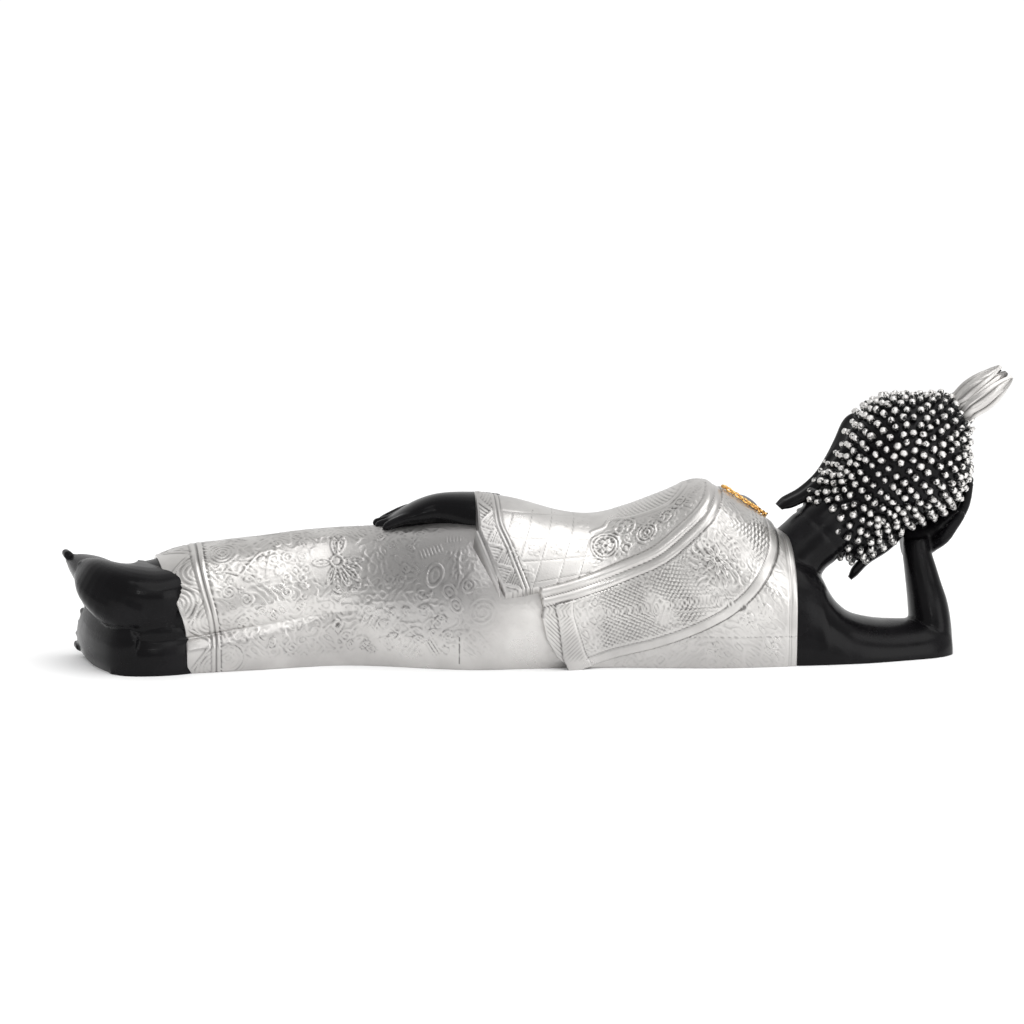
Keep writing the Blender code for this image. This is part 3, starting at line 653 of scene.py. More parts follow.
def makeSkirt():
    x = np.arange(skirt["from"], skirt["to"], skirt["cell"])
    turns = spreadTurns(skirtForm, -60, skirt["cell"], skirt["frontCell"])
    points = clothPoints(skirtForm, x, turns)
    carving = Carving(points, turns)
    skirtCarving(carving, x)
    points = points + outwards(points) * carving.height[..., None]
    points = np.concatenate([edgeRings(skirtForm, x[0], turns, skirt["rim"]), points])
    hollow = np.concatenate([np.tile(skirt["rimPaintedShade"], (1, len(turns))), hollowness(carving.height, 3)])
    return finishPiece(wrapGrid("carved_skirt", points, hollow), silverFinish)


# Outlines seen from the back, x and z in mm
sleeveEdge = [(-30, 90), (-29, 75), (-28, 61), (-23.6, 50.3), (-17.2, 33.6)]
robeOpen = [(-60, 90), (-29, 90), (-28, 61), (-23.6, 50.3), (-17.2, 33.6), (-3, 35.8), (14, 36), (14, -30),
            (-60, -30)]
underRobe = [(-30.2, 61), (-24, 62), (-19.0, 34.5), (-18.2, 31.6), (-19.6, 33.6), (-25.9, 50)]
sashUpper = [(-2.6, 35.9), (9, 38.2), (21, 41.4), (34, 46.3), (47.5, 52.4), (59.5, 62), (69, 71), (73.5, 80),
             (75, 92)]
sashLower = [(106, 92), (103, 54), (101, 47), (93, 34.5), (82, 24.5), (66, 16), (48, 9.5), (32, 5.5), (20.5, 2.0)]
outerFold = [(9, 31), (-0.9, 30.8), (-1.6, 22.8), (0.2, 14), (4.6, 6), (9, 2.2), (9, 6), (8.2, 14), (6.8, 22.7)]
innerFold = [(12, 31), (3.6, 30.8), (5.4, 22.7), (6.7, 14), (7.7, 6), (9.5, 1), (14, 0.4), (21, 2.4), (17.7, 8),
             (15, 16), (12.4, 24)]

robe = {
    "from": -31.0,
    "to": 110.0,
    "cell": 0.48,
    "frontCell": 1.15,
    "edge": 0.36,
    "sashLayer": 1.5,
    "rollWidth": 4.2,
    "rimWidth": 4.4,
    "depth": 0.33,
    "quiltLean": 0.36,
    "quiltMiddle": 57,
    "flower": (74.0, 47.0),
    "dotPitch": 1.85,
    # the neck edge is round: how far in and how far along
    "rim": ((0.3, 0.25), (0.9, 0.42), (2.0, 0.45), (4.0, 0.3)),
    # painted shade on each of these rings, darker further in
    "rimPaintedShade": [[0.0], [0.1], [0.5], [0.9]],
}


def robeLayers(x2d, z):
    soft = robe["edge"]
    upper, lower = smoothLine(sashUpper), smoothLine(sashLower)
    layer = {"open": insideOf(robeOpen, x2d, z), "under": insideOf(underRobe, x2d, z)}
    outline = list(map(tuple, upper)) + list(map(tuple, lower)) + [(15, 8), (6, 30)]
    layer["sash"] = insideOf(outline, x2d, z)
    layer["upper"], side, layer["along"] = alongLine(upper, x2d, z)
    layer["upper"] = layer["upper"] * side
    layer["lower"] = alongLine(lower, x2d, z)[0]
    layer["outer"] = insideOf(outerFold, x2d, z)
    layer["inner"] = insideOf(innerFold, x2d, z)
    width = robe["rollWidth"]
    onRolls = (layer["along"] > 0.05) * (z < 95)
    grow = robe["sashLayer"] * ramp(layer["sash"], -soft, soft)
    grow = np.maximum(grow, (robe["sashLayer"] - 0.4) * ramp(layer["outer"], -soft, soft))
    grow = np.maximum(grow, (robe["sashLayer"] + 0.7) * ramp(layer["inner"], -soft, soft))
    for start, high in ((0.0, 1.8), (width, 1.45)):
        share = np.clip((layer["upper"] - start) / width, 0, 1) * 2 - 1
        roll = high * np.sqrt(np.clip(1 - share**2, 0, 1)) ** 0.8 * ramp(layer["along"], 0.0, 0.5)
        roll = roll * (1 - 0.6 * ramp(z, 68, 76))  # lower where they go over the shoulder
        grow = np.where((layer["upper"] > start) & (layer["upper"] < start + width) & onRolls,
                        np.maximum(roll, 0.35), grow)
    return layer, grow


def robeCarving(carving, x, layer):
    x2d, s, z = np.broadcast_to(x[:, None], carving.x.shape), carving.s, carving.z
    depth = robe["depth"]
    onBack = ramp(-carving.y, 0, 8)
    sash = layer["sash"] > 0.4
    rolled = layer["upper"] < 2 * robe["rollWidth"] + 0.2
    plain = ~sash & (layer["open"] < 0)
    # the sleeve's border
    edge, side, along = alongLine(smoothLine(sleeveEdge, 2.0), x2d, z)
    border = plain & (side < 0) & (z > 34)
    for height, place, width in ((0.34, 8.2, 0.5), (0.3, 9.9, 0.42), (-0.2, 9.05, 0.3), (-0.18, 10.8, 0.35),
                                 (0.12, 0.9, 0.45)):
        carving.ridge(border * height, edge - place, width)
    inBand = border * ramp(edge, 0.9, 1.5) * (1 - ramp(edge, 6.9, 7.4))
    zigzag = np.abs(wrapped(along, 9.0)) / 4.5
    a = (edge - 1.2) / 6.0
    carving.ridge(inBand * depth, (zigzag - a) * 3.2, 0.4)
    carving.ridge(inBand * depth * 0.8 * (zigzag > a + 0.12), wrapped(along - 0.7 * edge, 1.5), 0.3)
    carving.ridge(inBand * depth * 0.8 * (zigzag < a - 0.12), wrapped(along + 0.9 * edge, 1.5), 0.3)
    # the quilted panel
    panel = plain * onBack * ramp(edge, 11.0, 11.8) * (side < 0) * (1 - ramp(x2d, 19, 21.5))
    lean, middle = robe["quiltLean"], robe["quiltMiddle"]
    quilt = np.zeros(x2d.shape)
    for height, slope in ((65.4, -0.125), (56.3, -0.06), (47.6, 0.035), (39.2, 0.12)):
        quilt += line(z - height - slope * (x2d + 1), 0.34)
    for place in (-16.4, -7.3, 2.1, 12.4, 21.0):
        quilt += line((x2d - place - lean * (z - middle)) * 0.94, 0.34) * (z < 67)
    carving.height -= panel * 0.16 * np.clip(quilt, 0, 1)
    for row, height in enumerate((61.0, 52.0, 43.4)):
        for place in (-11.8, -2.6, 7.2, 16.8):
            px = place + lean * (height - middle)
            if insideOf(robeOpen, np.array(px), np.array(height)) < -8:
                carving.stamp(px, height, 3.2, lambda u, v: rosette(u * 0.7 + v * 0.7, v * 0.7 - u * 0.7, 4, 3.0, 0.7),
                              depth * (0.35 if row == 0 else 0.6))
    # medallions and feathers beside it
    carving.stamp(26.9, 52.3, 7.5, lambda u, v: hoops(u, v, (6.1, 4.7)) + rosette(u, v, 6, 3.6, 0.9), depth)
    carving.stamp(35.9, 60.0, 5.5, lambda u, v: hoops(u, v, (4.3,)) + 0.7 * rosette(u, v, 5, 2.4, 0.7), depth * 0.8)
    carving.stamp(44.6, 58.2, 5.2, lambda u, v: hoops(u, v, (4.1, 2.8)) + spiral(u, v, 2.2, 1.6, 1), depth)
    carving.stampAll(depth, [(36.0, 52.0, 4.0, 0.7, 0, spiral, 3.4, 2.0, -1),
                             (53.5, 65.0, 5.0, 0.8, 0, spiral, 4.4, 2.4, 1),
                             (60.0, 71.0, 4.6, 0.8, 0, spiral, 3.6, 2.2, -1)])
    trim = [(21.0, 57.5), (27.5, 59.7), (29.6, 61.9), (41, 64.2), (55.3, 69.8), (64.5, 77.5)]
    distance, side, along = alongLine(smoothLine(trim), x2d, z)
    yoke = plain * onBack * (x2d > 21)
    carving.ridge(yoke * depth * (along > 0.2), distance, 0.36)
    feather = yoke * (side < 0) * ramp(distance, 0.8, 1.2) * (1 - ramp(distance, 4.2, 5.2)) * (x2d > 33)
    carving.ridge(feather * depth * 0.8, wrapped(along + 0.9 * distance, 1.9), 0.36)
    small = yoke * (side > 0) * ramp(distance, 0.9, 1.6) * ramp(layer["upper"] * -1, 0.8, 1.6)
    carving.height += small * 0.16 * swirls(x2d, s, 21, 4.8, 3.0)
    # the sash: rows of small dots, flowers, a plain rim
    inner, outer = 2 * robe["rollWidth"] + 0.7, robe["rimWidth"]
    rim = sash & ~rolled
    carving.ridge(rim * -0.15, layer["lower"] - outer)
    carving.height += rim * 0.08 * np.clip(1 - ((layer["lower"] - outer / 2) / (outer / 2)) ** 2, 0, 1)
    field = rim * ramp(layer["upper"], inner, inner + 0.5) * ramp(layer["lower"], outer + 0.6, outer + 1.0)
    field = field * (layer["inner"] < -0.6) * (layer["outer"] < -0.6)
    along, down = (2 * math.pi / robe["dotPitch"] * layer[name] for name in ("along", "upper"))
    dots = sum(np.clip(np.cos(along + shift) * np.cos(down + shift), 0, 1) for shift in (0, math.pi))
    flower = insideOf([(42.5, 40.5), (46.5, 33), (51.5, 29), (58.5, 20.5), (50.0, 18.5), (44.5, 27)], x2d, z)
    cap = np.maximum(ramp(-np.hypot(x2d - 76.0, z - 46.5), -15.5, -13.5), ramp(z, 60, 62))
    leftEnd = 1 - ramp(x2d, 22.5, 26.5)
    special = np.clip(np.maximum(np.maximum(ramp(flower, -0.6, 0.2), cap), leftEnd), 0, 1)
    carving.height += field * 0.20 * dots * (1 - special)
    carving.height += field * special * 0.2 * swirls(x2d, s, 8, 4.6, 3.0)
    px, pz = robe["flower"]
    carving.stamp(px, pz, 7.0, lambda u, v: rosette(u, v, 8, 6.0, 1.4), depth * 1.15, 1.0)
    away, bearing = np.hypot(x2d - px, z - pz), np.arctan2(z - pz, x2d - px)
    wheel = field * ramp(away, 6.0, 6.6) * (1 - ramp(away, 11.0, 12.0))
    carving.ridge(wheel * 0.17, np.sin(11 * bearing + 0.35 * away), 0.4)
    for reach in (8.4, 10.2, 12.0):
        carving.ridge(rim * ramp(z, 48, 52) * 0.16, layer["lower"] - reach, 0.34)
    # hatching on the sash's folded end
    for name, way in (("outer", 1.0), ("inner", -0.9)):
        onFold = ramp(layer[name], 0.9, 1.3) * ((layer["inner"] < 0.2) if name == "outer" else 1.0) * (z > 5)
        carving.ridge(onFold * 0.2, wrapped(z + way * x2d, 1.755), 0.36)
    # faint flowers and seams under the sash
    lowBack = plain * onBack * (x2d > 30) * (layer["upper"] > 0)
    carving.height += lowBack * 0.15 * swirls(x2d, s, 5, 5.2, 2.6) * (1 - ramp(x2d, 104, 106))
    carving.ridge(lowBack * -0.12 * ramp(x2d, 60, 62), z - 13.4 - 0.012 * (101 - x2d), 0.3)
    carving.stampAll(depth, [(px, pz, 5, 0.5, 0.5, rosette, 5, 4.2, 0.9) for px, pz in (
        (95.5, 24.0), (99.0, 33.5), (88.0, 20.5), (73.5, 8.0), (99.0, 7.5))])
    for place in (107.3, 106.2):
        carving.ridge((layer["sash"] < -0.3) * (x2d > 90) * -0.2, x2d - place, 0.26)
    front = ramp(carving.y, 4, 10) * (layer["open"] < -1) * ~sash
    carving.height += front * 0.09 * swirls(x2d, s, 15) * (edge > 11)


def makeRobe():
    x = np.arange(robe["from"], robe["to"] + 0.01, robe["cell"])
    turns = spreadTurns(robeForm, 62, robe["cell"], robe["frontCell"])
    plainRobe = clothPoints(robeForm, x, turns)
    x2d = plainRobe[..., 0]
    layer, grow = robeLayers(x2d, plainRobe[..., 2])
    soft = robe["edge"]
    under = clothPoints(robeForm, x, turns, -0.8)
    hidden = clothPoints(skirtForm, x, turns, -2.5)
    points = clothPoints(robeForm, x, turns, grow)
    strip = ramp(layer["under"], -soft, soft)[..., None]
    covered = ramp(-layer["open"], -soft, soft)
    fold = np.max([ramp(layer[name], -soft, soft) for name in ("outer", "inner", "sash")], axis=0)
    covered = np.maximum(covered, fold)[..., None]
    rolls = (layer["upper"] > 0) & (layer["upper"] < 2 * robe["rollWidth"]) & (layer["along"] > 0.05)
    covered = np.maximum(covered, (rolls * ramp(layer["along"], 0.0, 0.4))[..., None])
    inside = hidden * (1 - strip) + under * strip
    inside[..., 0] = x2d
    carving = Carving(plainRobe, turns)
    robeCarving(carving, x, layer)
    carving.height *= covered[..., 0]
    points = points + outwards(plainRobe) * carving.height[..., None]
    points = inside * (1 - covered) + points * covered
    points[..., 0] = x2d
    # the second term is painted shade at the foot of the sash, its folds and rolls, and along the robe's open edge
    hollow = hollowness(carving.height, 3) + hollowness(grow * 0.4 + covered[..., 0] * 0.3, 2) * 0.9
    points = np.concatenate([points, edgeRings(robeForm, x[-1], turns, robe["rim"])])
    hollow = np.concatenate([hollow, np.tile(robe["rimPaintedShade"], (1, len(turns)))])
    return finishPiece(wrapGrid("carved_robe", points, np.clip(hollow, 0, 1)), silverFinish)


carvedSkirt = makeSkirt()
carvedRobe = makeRobe()
print("cloth carved", len(carvedSkirt.data.polygons), len(carvedRobe.data.polygons))


# Limbs: closed tubes through rings, melted together and smoothed

def squashed(angle, power):
    c, s = math.cos(angle), math.sin(angle)
    return math.copysign(abs(c) ** (2 / power), c), math.copysign(abs(s) ** (2 / power), s)


def loft(name, rings):
    count = len(rings[0])
    points = [toWorld(point) for ring in rings for point in ring]
    faces = [(i * count + j, i * count + (j + 1) % count, (i + 1) * count + (j + 1) % count, (i + 1) * count + j)
             for i in range(len(rings) - 1) for j in range(count)]
    faces += [tuple(reversed(range(count))), tuple(range(len(points) - count, len(points)))]
    mesh = bpy.data.meshes.new(name)
    mesh.from_pydata(points, [], faces)
    piece = bpy.data.objects.new(name, mesh)
    bpy.context.scene.collection.objects.link(piece)
    turnOutwards(piece)
    return piece


def ringsThrough(rows, sides, power, steps, spot):  # rings on a smooth path through rows of a place and two sizes
    table = [(i, *place, *sizes) for i, (place, *sizes) in enumerate(rows)]
    fine = curveThrough(table, np.linspace(0, len(rows) - 1, (len(rows) - 1) * steps + 1))
    path = [Vector(row[:3]) for row in fine]
    corners = [squashed(2 * math.pi * j / sides, power) for j in range(sides)]
    rings = []
    for i, (point, row) in enumerate(zip(path, fine)):
        ahead = (path[min(i + 1, len(path) - 1)] - path[max(i - 1, 0)]).normalized()
        rings.append([spot(point, ahead, a, b, *row[3:]) for a, b in corners])
    return rings


def limb(rows, sides, power=2.2, steps=4):  # rows: centre, half width across, half width along y
    def spot(point, ahead, a, b, wide, deep):
        side = ahead.cross(Vector((0, 1, 0))).normalized()
        return point + side * (a * wide) + ahead.cross(side) * (b * deep)

    return loft("limb", ringsThrough(rows, sides, power, steps, spot))


def finger(path, width, endWidth):
    points = [Vector(p) for p in path]
    rows = []
    for i, point in enumerate(points):
        size = width + (endWidth - width) * i / (len(points) - 1)
        rows.append((point, size, size))
    ahead = (points[-1] - points[-2]).normalized()
    rows.append((points[-1] + ahead * endWidth * 0.55, endWidth * 0.8, endWidth * 0.8))
    rows.append((points[-1] + ahead * endWidth * 0.95, endWidth * 0.3, endWidth * 0.3))
    return limb(rows, 14, 2.0, 3)


def melted(name, parts, voxel, rounds):
    whole = joined(name, parts)
    remesh = whole.modifiers.new("Melt", "REMESH")
    remesh.mode = "VOXEL"
    remesh.voxel_size = voxel * mm
    smooth = whole.modifiers.new("Smooth", "SMOOTH")
    smooth.factor = 0.5
    smooth.iterations = rounds
    applyAll(whole)
    return whole


def cutAtFloor(piece):
    editAll(piece, bpy.ops.mesh.bisect, plane_co=(0, 0, 0), plane_no=(0, 0, 1), clear_inner=True, use_fill=True,
            threshold=1e-5)


headPlace = Vector((160.1, 2.0, 79.4))
headTilt = math.radians(45)
headUp = Vector((math.cos(headTilt), 0, math.sin(headTilt)))
headLeft = Vector((-math.sin(headTilt), 0, math.cos(headTilt)))


def onHead(left, front, up):
    return headPlace + headLeft * left + Vector((0, front, 0)) + headUp * up


skin = {
    "shoulder": [((96, -11.0, 0.0), 50.0, 27.0), ((108, -11.5, 0.0), 49.0, 28.6), ((116, -12.4, 0.0), 45.0, 28.4),
                 ((122, -13.0, 0.0), 40.0, 27.4), ((126, -13.3, 0.0), 34.5, 26.8), ((129, -13.5, 0.0), 28.5, 26.2),
                 ((133, -13.6, 0.0), 23.0, 25.5), ((140, -13.5, 0.0), 18.0, 24.5), ((152, -12.5, 0.0), 15.2, 22.4),
                 ((164, -11.5, 0.0), 14.5, 20.0), ((173, -10.5, 0.0), 14.6, 17.8), ((180, -9.5, 0.0), 13.8, 14.0),
                 ((184, -9.0, 0.0), 11.4, 9.8), ((185.6, -9.0, 0.0), 8.0, 5.0)],
    "forearm": [((177.2, -9.0, 1.5), 9.0, 14.5), ((176.8, -8.6, 11.0), 8.9, 13.2), ((175.8, -7.0, 20.0), 8.7, 11.8),
                ((174.4, -5.0, 28.0), 7.8, 10.0), ((173.0, -3.0, 36.0), 7.0, 8.6), ((172.0, -1.0, 42.0), 6.4, 7.8),
                ((171.8, 1.0, 48.0), 6.0, 7.4)],
    "neck": [((100, -8.0, 28.0), 19.0, 17.0), ((110, -7.5, 38.0), 16.0, 16.5), ((118.2, -6.2, 46.4), 13.6, 15.5),
             ((124.4, -5.0, 51.4), 13.7, 15.6), ((125.6, -4.8, 52.4), 12.4, 14.4), ((126.8, -4.6, 53.4), 13.7, 15.6),
             ((134.8, -3.0, 60.0), 13.2, 15.0), ((146, -2.0, 68.0), 13.0, 14.0)],
    "palm": [((-18.6, 3.0, -27.6), 6.4, 6.6), ((-15.4, 3.0, -30.4), 8.0, 7.6), ((-10.8, 3.5, -33.2), 7.8, 9.0),
             ((-3.9, 4.0, -34.2), 7.0, 10.2), ((4.2, 4.0, -34.4), 6.2, 10.4), ((8.5, 4.0, -33.6), 5.0, 9.8)],
    "fingers": ((20.2, -4.2), (22.6, 1.2), (21.2, 6.6), (17.6, 11.6)),  # how far each reaches, and its place across
    "fingerWidths": (2.6, 2.2),
    "thumbWidths": (3.3, 2.3),
    "thumb": [(-36.5, -2.0, -10.8), (-36.3, -8.5, -4.8), (-34.2, -12.0, 2.3), (-32.9, -13.5, 7.4)],
    "voxel": 0.75,
    "rounds": 9,
}


def makeSkin():
    palm = [(onHead(left, front, up), thick, deep) for (up, front, left), thick, deep in skin["palm"]]
    parts = [limb(skin["shoulder"], 48), limb(skin["forearm"], 32), limb(skin["neck"], 48, steps=5), limb(palm, 28)]
    for i, (reach, spread) in enumerate(skin["fingers"]):
        base = 6.2 - 0.4 * i
        parts.append(finger([onHead(-35.8, spread, base), onHead(-33.4, spread * 1.02, (base + reach) / 2),
                             onHead(-28.4 + 0.1 * i, spread * 1.05, reach)], *skin["fingerWidths"]))
    parts.append(finger([onHead(*place) for place in skin["thumb"]], *skin["thumbWidths"]))
    whole = melted("neck_and_right_arm", parts, skin["voxel"], skin["rounds"])
    cutAtFloor(whole)
    return finishPiece(whole, skinFinish)


leftHand = {
    "rows": [((-18, -3.0, 60.6), 11.2, 17.0), ((-28, -3.0, 62.2), 10.8, 16.0), ((-36, -2.5, 64.0), 9.0, 13.4),
             ((-44, -2.0, 64.6), 7.6, 11.0), ((-51, -2.0, 63.8), 6.2, 11.2), ((-57, -2.0, 62.2), 4.8, 10.8),
             ((-62, -2.0, 60.6), 3.4, 10.2), ((-66, -2.0, 59.4), 2.2, 8.6)],
    "fingers": ((-67.0, -10.4), (-70.0, -4.9), (-71.0, 0.6), (-68.5, 6.0)),
    "fingerWidths": (2.75, 2.1),
    "thumbWidths": (3.4, 2.4),
    "thumb": [(-34, 9.0, 62.0), (-42, 13.0, 60.0), (-49, 15.0, 57.0), (-54, 15.5, 54.0)],
    "voxel": 0.5,
    "rounds": 15,
}


def makeLeftHand():
    parts = [limb(leftHand["rows"], 32)]
    for i, (reach, across) in enumerate(leftHand["fingers"]):
        lift = 0.5 * i
        parts.append(finger([(-50, across, 63.8 + lift), (-58, across * 1.02, 62.4 + lift),
                             (-65, across * 1.02, 59.8 + lift * 0.8), (reach, across, 58.6 + lift * 0.5)],
                            *leftHand["fingerWidths"]))
    parts.append(finger(leftHand["thumb"], *leftHand["thumbWidths"]))
    return finishPiece(melted("left_hand", parts, leftHand["voxel"], leftHand["rounds"]), skinFinish)


feet = {
    # the way across each sole, then its middle line from heel to toes: place, half width, thickness
    "lower": ((0.20, 0.0, 0.98), [((-175, -41.5, 12), 6.0, 8), ((-180, -40.5, 12), 10.5, 14),
                                  ((-186, -36, 12.5), 14.0, 20), ((-192.5, -26, 13), 15.2, 24),
                                  ((-198, -14, 13.5), 15.4, 24), ((-201.5, -3, 14), 15.0, 22),
                                  ((-203.5, 5, 14), 13.5, 18), ((-204, 8, 14), 9.0, 12)]),
    "upper": ((-0.42, 0.0, 0.91), [((-172, -41.5, 28), 6.0, 8), ((-178, -41, 28.5), 10.0, 14),
                                   ((-186, -37, 29.5), 13.6, 20), ((-194, -27, 31.5), 15.0, 28),
                                   ((-200, -15, 34), 14.0, 30), ((-204, -4, 37), 12.0, 28),
                                   ((-206.5, 4, 39), 9.6, 24), ((-207.5, 7.5, 40.4), 6.6, 18)]),
    "toe": 2.1,
    "chipped": (-180.0, -34.0, 33.0),
    "lowerAnkle": [((-142, -10.0, 4.0), 17.6, 15.5), ((-152, -12.0, 3.6), 17.8, 20.5),
                   ((-160, -14.0, 3.2), 17.6, 24.5), ((-170, -16.0, 3.4), 16.6, 25.4),
                   ((-180, -18.0, 4.4), 15.2, 23.0), ((-187, -19.0, 6.0), 12.4, 16.0)],
    "upperAnkle": [((-142, -9.0, 30.6), 15.6, 15.5), ((-152, -11.0, 29.8), 15.2, 18.0),
                   ((-160, -13.0, 29.4), 15.0, 21.4), ((-170, -16.4, 29.6), 15.0, 24.0),
                   ((-180, -18.4, 31.6), 14.6, 22.2), ((-187, -16.0, 34.6), 11.8, 17.0),
                   ((-193, -9.5, 38.0), 8.4, 11.5), ((-197, -4, 40), 5.4, 7.0)],
    "between": [((-142, -10, 17.5), 8, 13.5), ((-152, -12, 17.5), 8, 18.2), ((-160, -14, 17.5), 8, 22),
                ((-172, -17, 17.5), 8, 22.6), ((-184, -19, 17.5), 7, 17)],
    "voxel": 0.6,
    "rounds": 12,
}


def foot(wide, rows):
    wide = Vector(wide).normalized()

    def spot(point, ahead, a, b, half, thick):
        inwards = wide.cross(ahead)
        inwards = Vector((inwards.x, inwards.y, 0)).normalized() * (1 if inwards.x > 0 else -1) - Vector((0, 0, 0.16))
        return point + wide * (a * half) + inwards * ((1 + b) * thick / 2)

    parts = [loft("foot", ringsThrough(rows, 32, 2.25, 4, spot))]
    place, half, thick = Vector(rows[-2][0]), rows[-2][1], feet["toe"]
    for i in range(5):
        start = place + wide * ((i - 2) / 2.7 * half) + Vector((thick * 1.4, 0, 0))
        path = [start, start + Vector((-1.2, 3, 0.4)), start + Vector((-2.0, 5.5, 0.6))]
        parts.append(finger(path, thick, thick * 0.85))
    return parts


def makeFeet():
    parts = foot(*feet["lower"]) + foot(*feet["upper"])
    parts += [limb(feet["lowerAnkle"], 32, 3.2), limb(feet["upperAnkle"], 32, 2.9),
              limb(feet["between"], 32, 2.6)]
    whole = melted("feet", parts, feet["voxel"], feet["rounds"])
    cutAtFloor(whole)
    flecks = glossBlack("gloss_black_feet", tuple(toWorld(feet["chipped"])))
    return finishPiece(whole, flecks)


innerHem = {"from": -157.8, "to": -148.0, "cell": 0.8, "inwards": 1.6, "rim": ((3.6, 0), (2.2, -0.1))}


def makeInnerHem():
    x = np.arange(innerHem["from"], innerHem["to"], innerHem["cell"])
    turns = spreadTurns(skirtForm, -150, 1.2, 1.6)
    points = np.concatenate([edgeRings(skirtForm, x[0], turns, innerHem["rim"]),
                             clothPoints(skirtForm, x, turns, -innerHem["inwards"])])
    return finishPiece(wrapGrid("inner_hem", points, np.zeros(points.shape[:2])), skinFinish)


makeSkin()
makeLeftHand()
makeFeet()
makeInnerHem()
print("skin modelled")


# The head

hair = {
    # half width and height of the scalp, from crown to nape
    "profile": [(0, 41.5), (6.0, 40.8), (9.8, 38.2), (12.6, 34.6), (17.0, 30.0), (22.2, 25.2), (26.4, 18.4),
                (28.6, 9.0), (27.2, 0.6), (24.0, -7.0), (22.2, -15.0), (21.2, -24.0), (20.2, -32.0), (17.6, -39.0),
                (10, -43.0), (0, -44.5)],
    "nape": -42.3,
    "hairline": 14.0,
    "behindEars": (0.12, -0.38),  # where the hair starts to go down to the nape, on the left and on the right
    "depths": (0.93, 1.02),  # of the front and of the back, for each part of the half width
    "cuts": 7,
    "jitter": 0.008,
    "lean": 0.12,
    # a curl's radius and height, from its root to its tip
    "curl": [(2.15, -0.7), (2.05, 0.2), (1.85, 1.0), (1.66, 1.8), (1.56, 2.5), (1.12, 3.1), (0.4, 3.36)],
    "sides": 8,
    "uneven": 0.11,
    "twist": 0.16,
    # each curl's share of that size, across and upwards, and how much higher or lower its silver starts
    "widths": (0.78, 1.04),
    "heights": (0.82, 1.1),
    "tipShift": (-0.14, 0.1),
}


def scalpRow(share):
    profile = np.array(hair["profile"], float)
    walked = np.concatenate([[0], np.cumsum(np.hypot(*np.diff(profile, axis=0).T))])
    return curveThrough(np.column_stack([walked / walked[-1], profile]), np.array([share]))[0]


def onScalp(direction):  # a place on the scalp, the way out of it, and if hair grows there
    lift = 0.0
    direction = direction.normalized()
    width, up = scalpRow(math.acos(max(-1.0, min(1.0, direction.z))) / math.pi)
    flat = max(math.hypot(direction.x, direction.y), 1e-6)
    deep = hair["depths"][0 if direction.y > 0 else 1]
    left, front = width * direction.x / flat, deep * width * direction.y / flat
    outward = Vector((left, front, 0.6 * up)).normalized()
    frontShare = max(direction.y, 0.0) / flat
    ears = hair["behindEars"][0 if direction.x > 0 else 1]
    edge = hair["hairline"] + (1 - frontShare) * -20 if direction.y > ears * flat else hair["nape"]
    if up <= edge:
        sink = min(1.0, (edge - up) / 3.0)
        lift = -3.5 * sink  # bare skin lies lower, inside the face and the neck
        left *= 1 - 0.05 * sink
        front *= 1 - (0.2 * sink if direction.y > 0 else 0.0)
    place = onHead(left + outward.x * lift, front + outward.y * lift, up + outward.z * lift)
    way = headLeft * outward.x + Vector((0, outward.y, 0)) + headUp * outward.z
    return place, way.normalized(), up > edge


def makeScalp():
    bpy.ops.mesh.primitive_uv_sphere_add(segments=96, ring_count=64, radius=1)
    scalp = bpy.context.object
    scalp.name = "scalp"
    for vert in scalp.data.vertices:
        vert.co = toWorld(onScalp(vert.co)[0])
    turnOutwards(scalp)
    return finishPiece(scalp, skinFinish)


def oneCurl():
    sides, rows = hair["sides"], hair["curl"]
    bpy.ops.mesh.primitive_cylinder_add(vertices=sides, radius=rows[0][0] * mm, depth=0.001, end_fill_type="NGON")
    curl = bpy.context.object
    curl.name = "curl"
    mesh = curl.data
    for vert in mesh.vertices:
        row = rows[0 if vert.co.z < 0 else 1]
        vert.co = (vert.co.x * (row[0] / rows[0][0]), vert.co.y * (row[0] / rows[0][0]), row[1] * mm)
    select(curl)
    bpy.ops.object.mode_set(mode="EDIT")
    bpy.ops.mesh.select_mode(type="FACE")
    bpy.ops.mesh.select_all(action="DESELECT")
    bpy.ops.object.mode_set(mode="OBJECT")
    for face in mesh.polygons:
        face.select = face.normal.z > 0.9
    bpy.ops.object.mode_set(mode="EDIT")
    for (wide, low), (narrow, high) in zip(rows[1:], rows[2:]):  # drawn up ring by ring, with a slight twist
        bpy.ops.mesh.extrude_region_move(TRANSFORM_OT_translate={"value": (0, 0, (high - low) * mm)})
        share = narrow / wide
        bpy.ops.transform.resize(value=(share, share, 1.0), center_override=(0, 0, high * mm))
        bpy.ops.transform.rotate(value=hair["twist"], orient_axis="Z", center_override=(0, 0, high * mm))
    bpy.ops.object.mode_set(mode="OBJECT")
    return curl


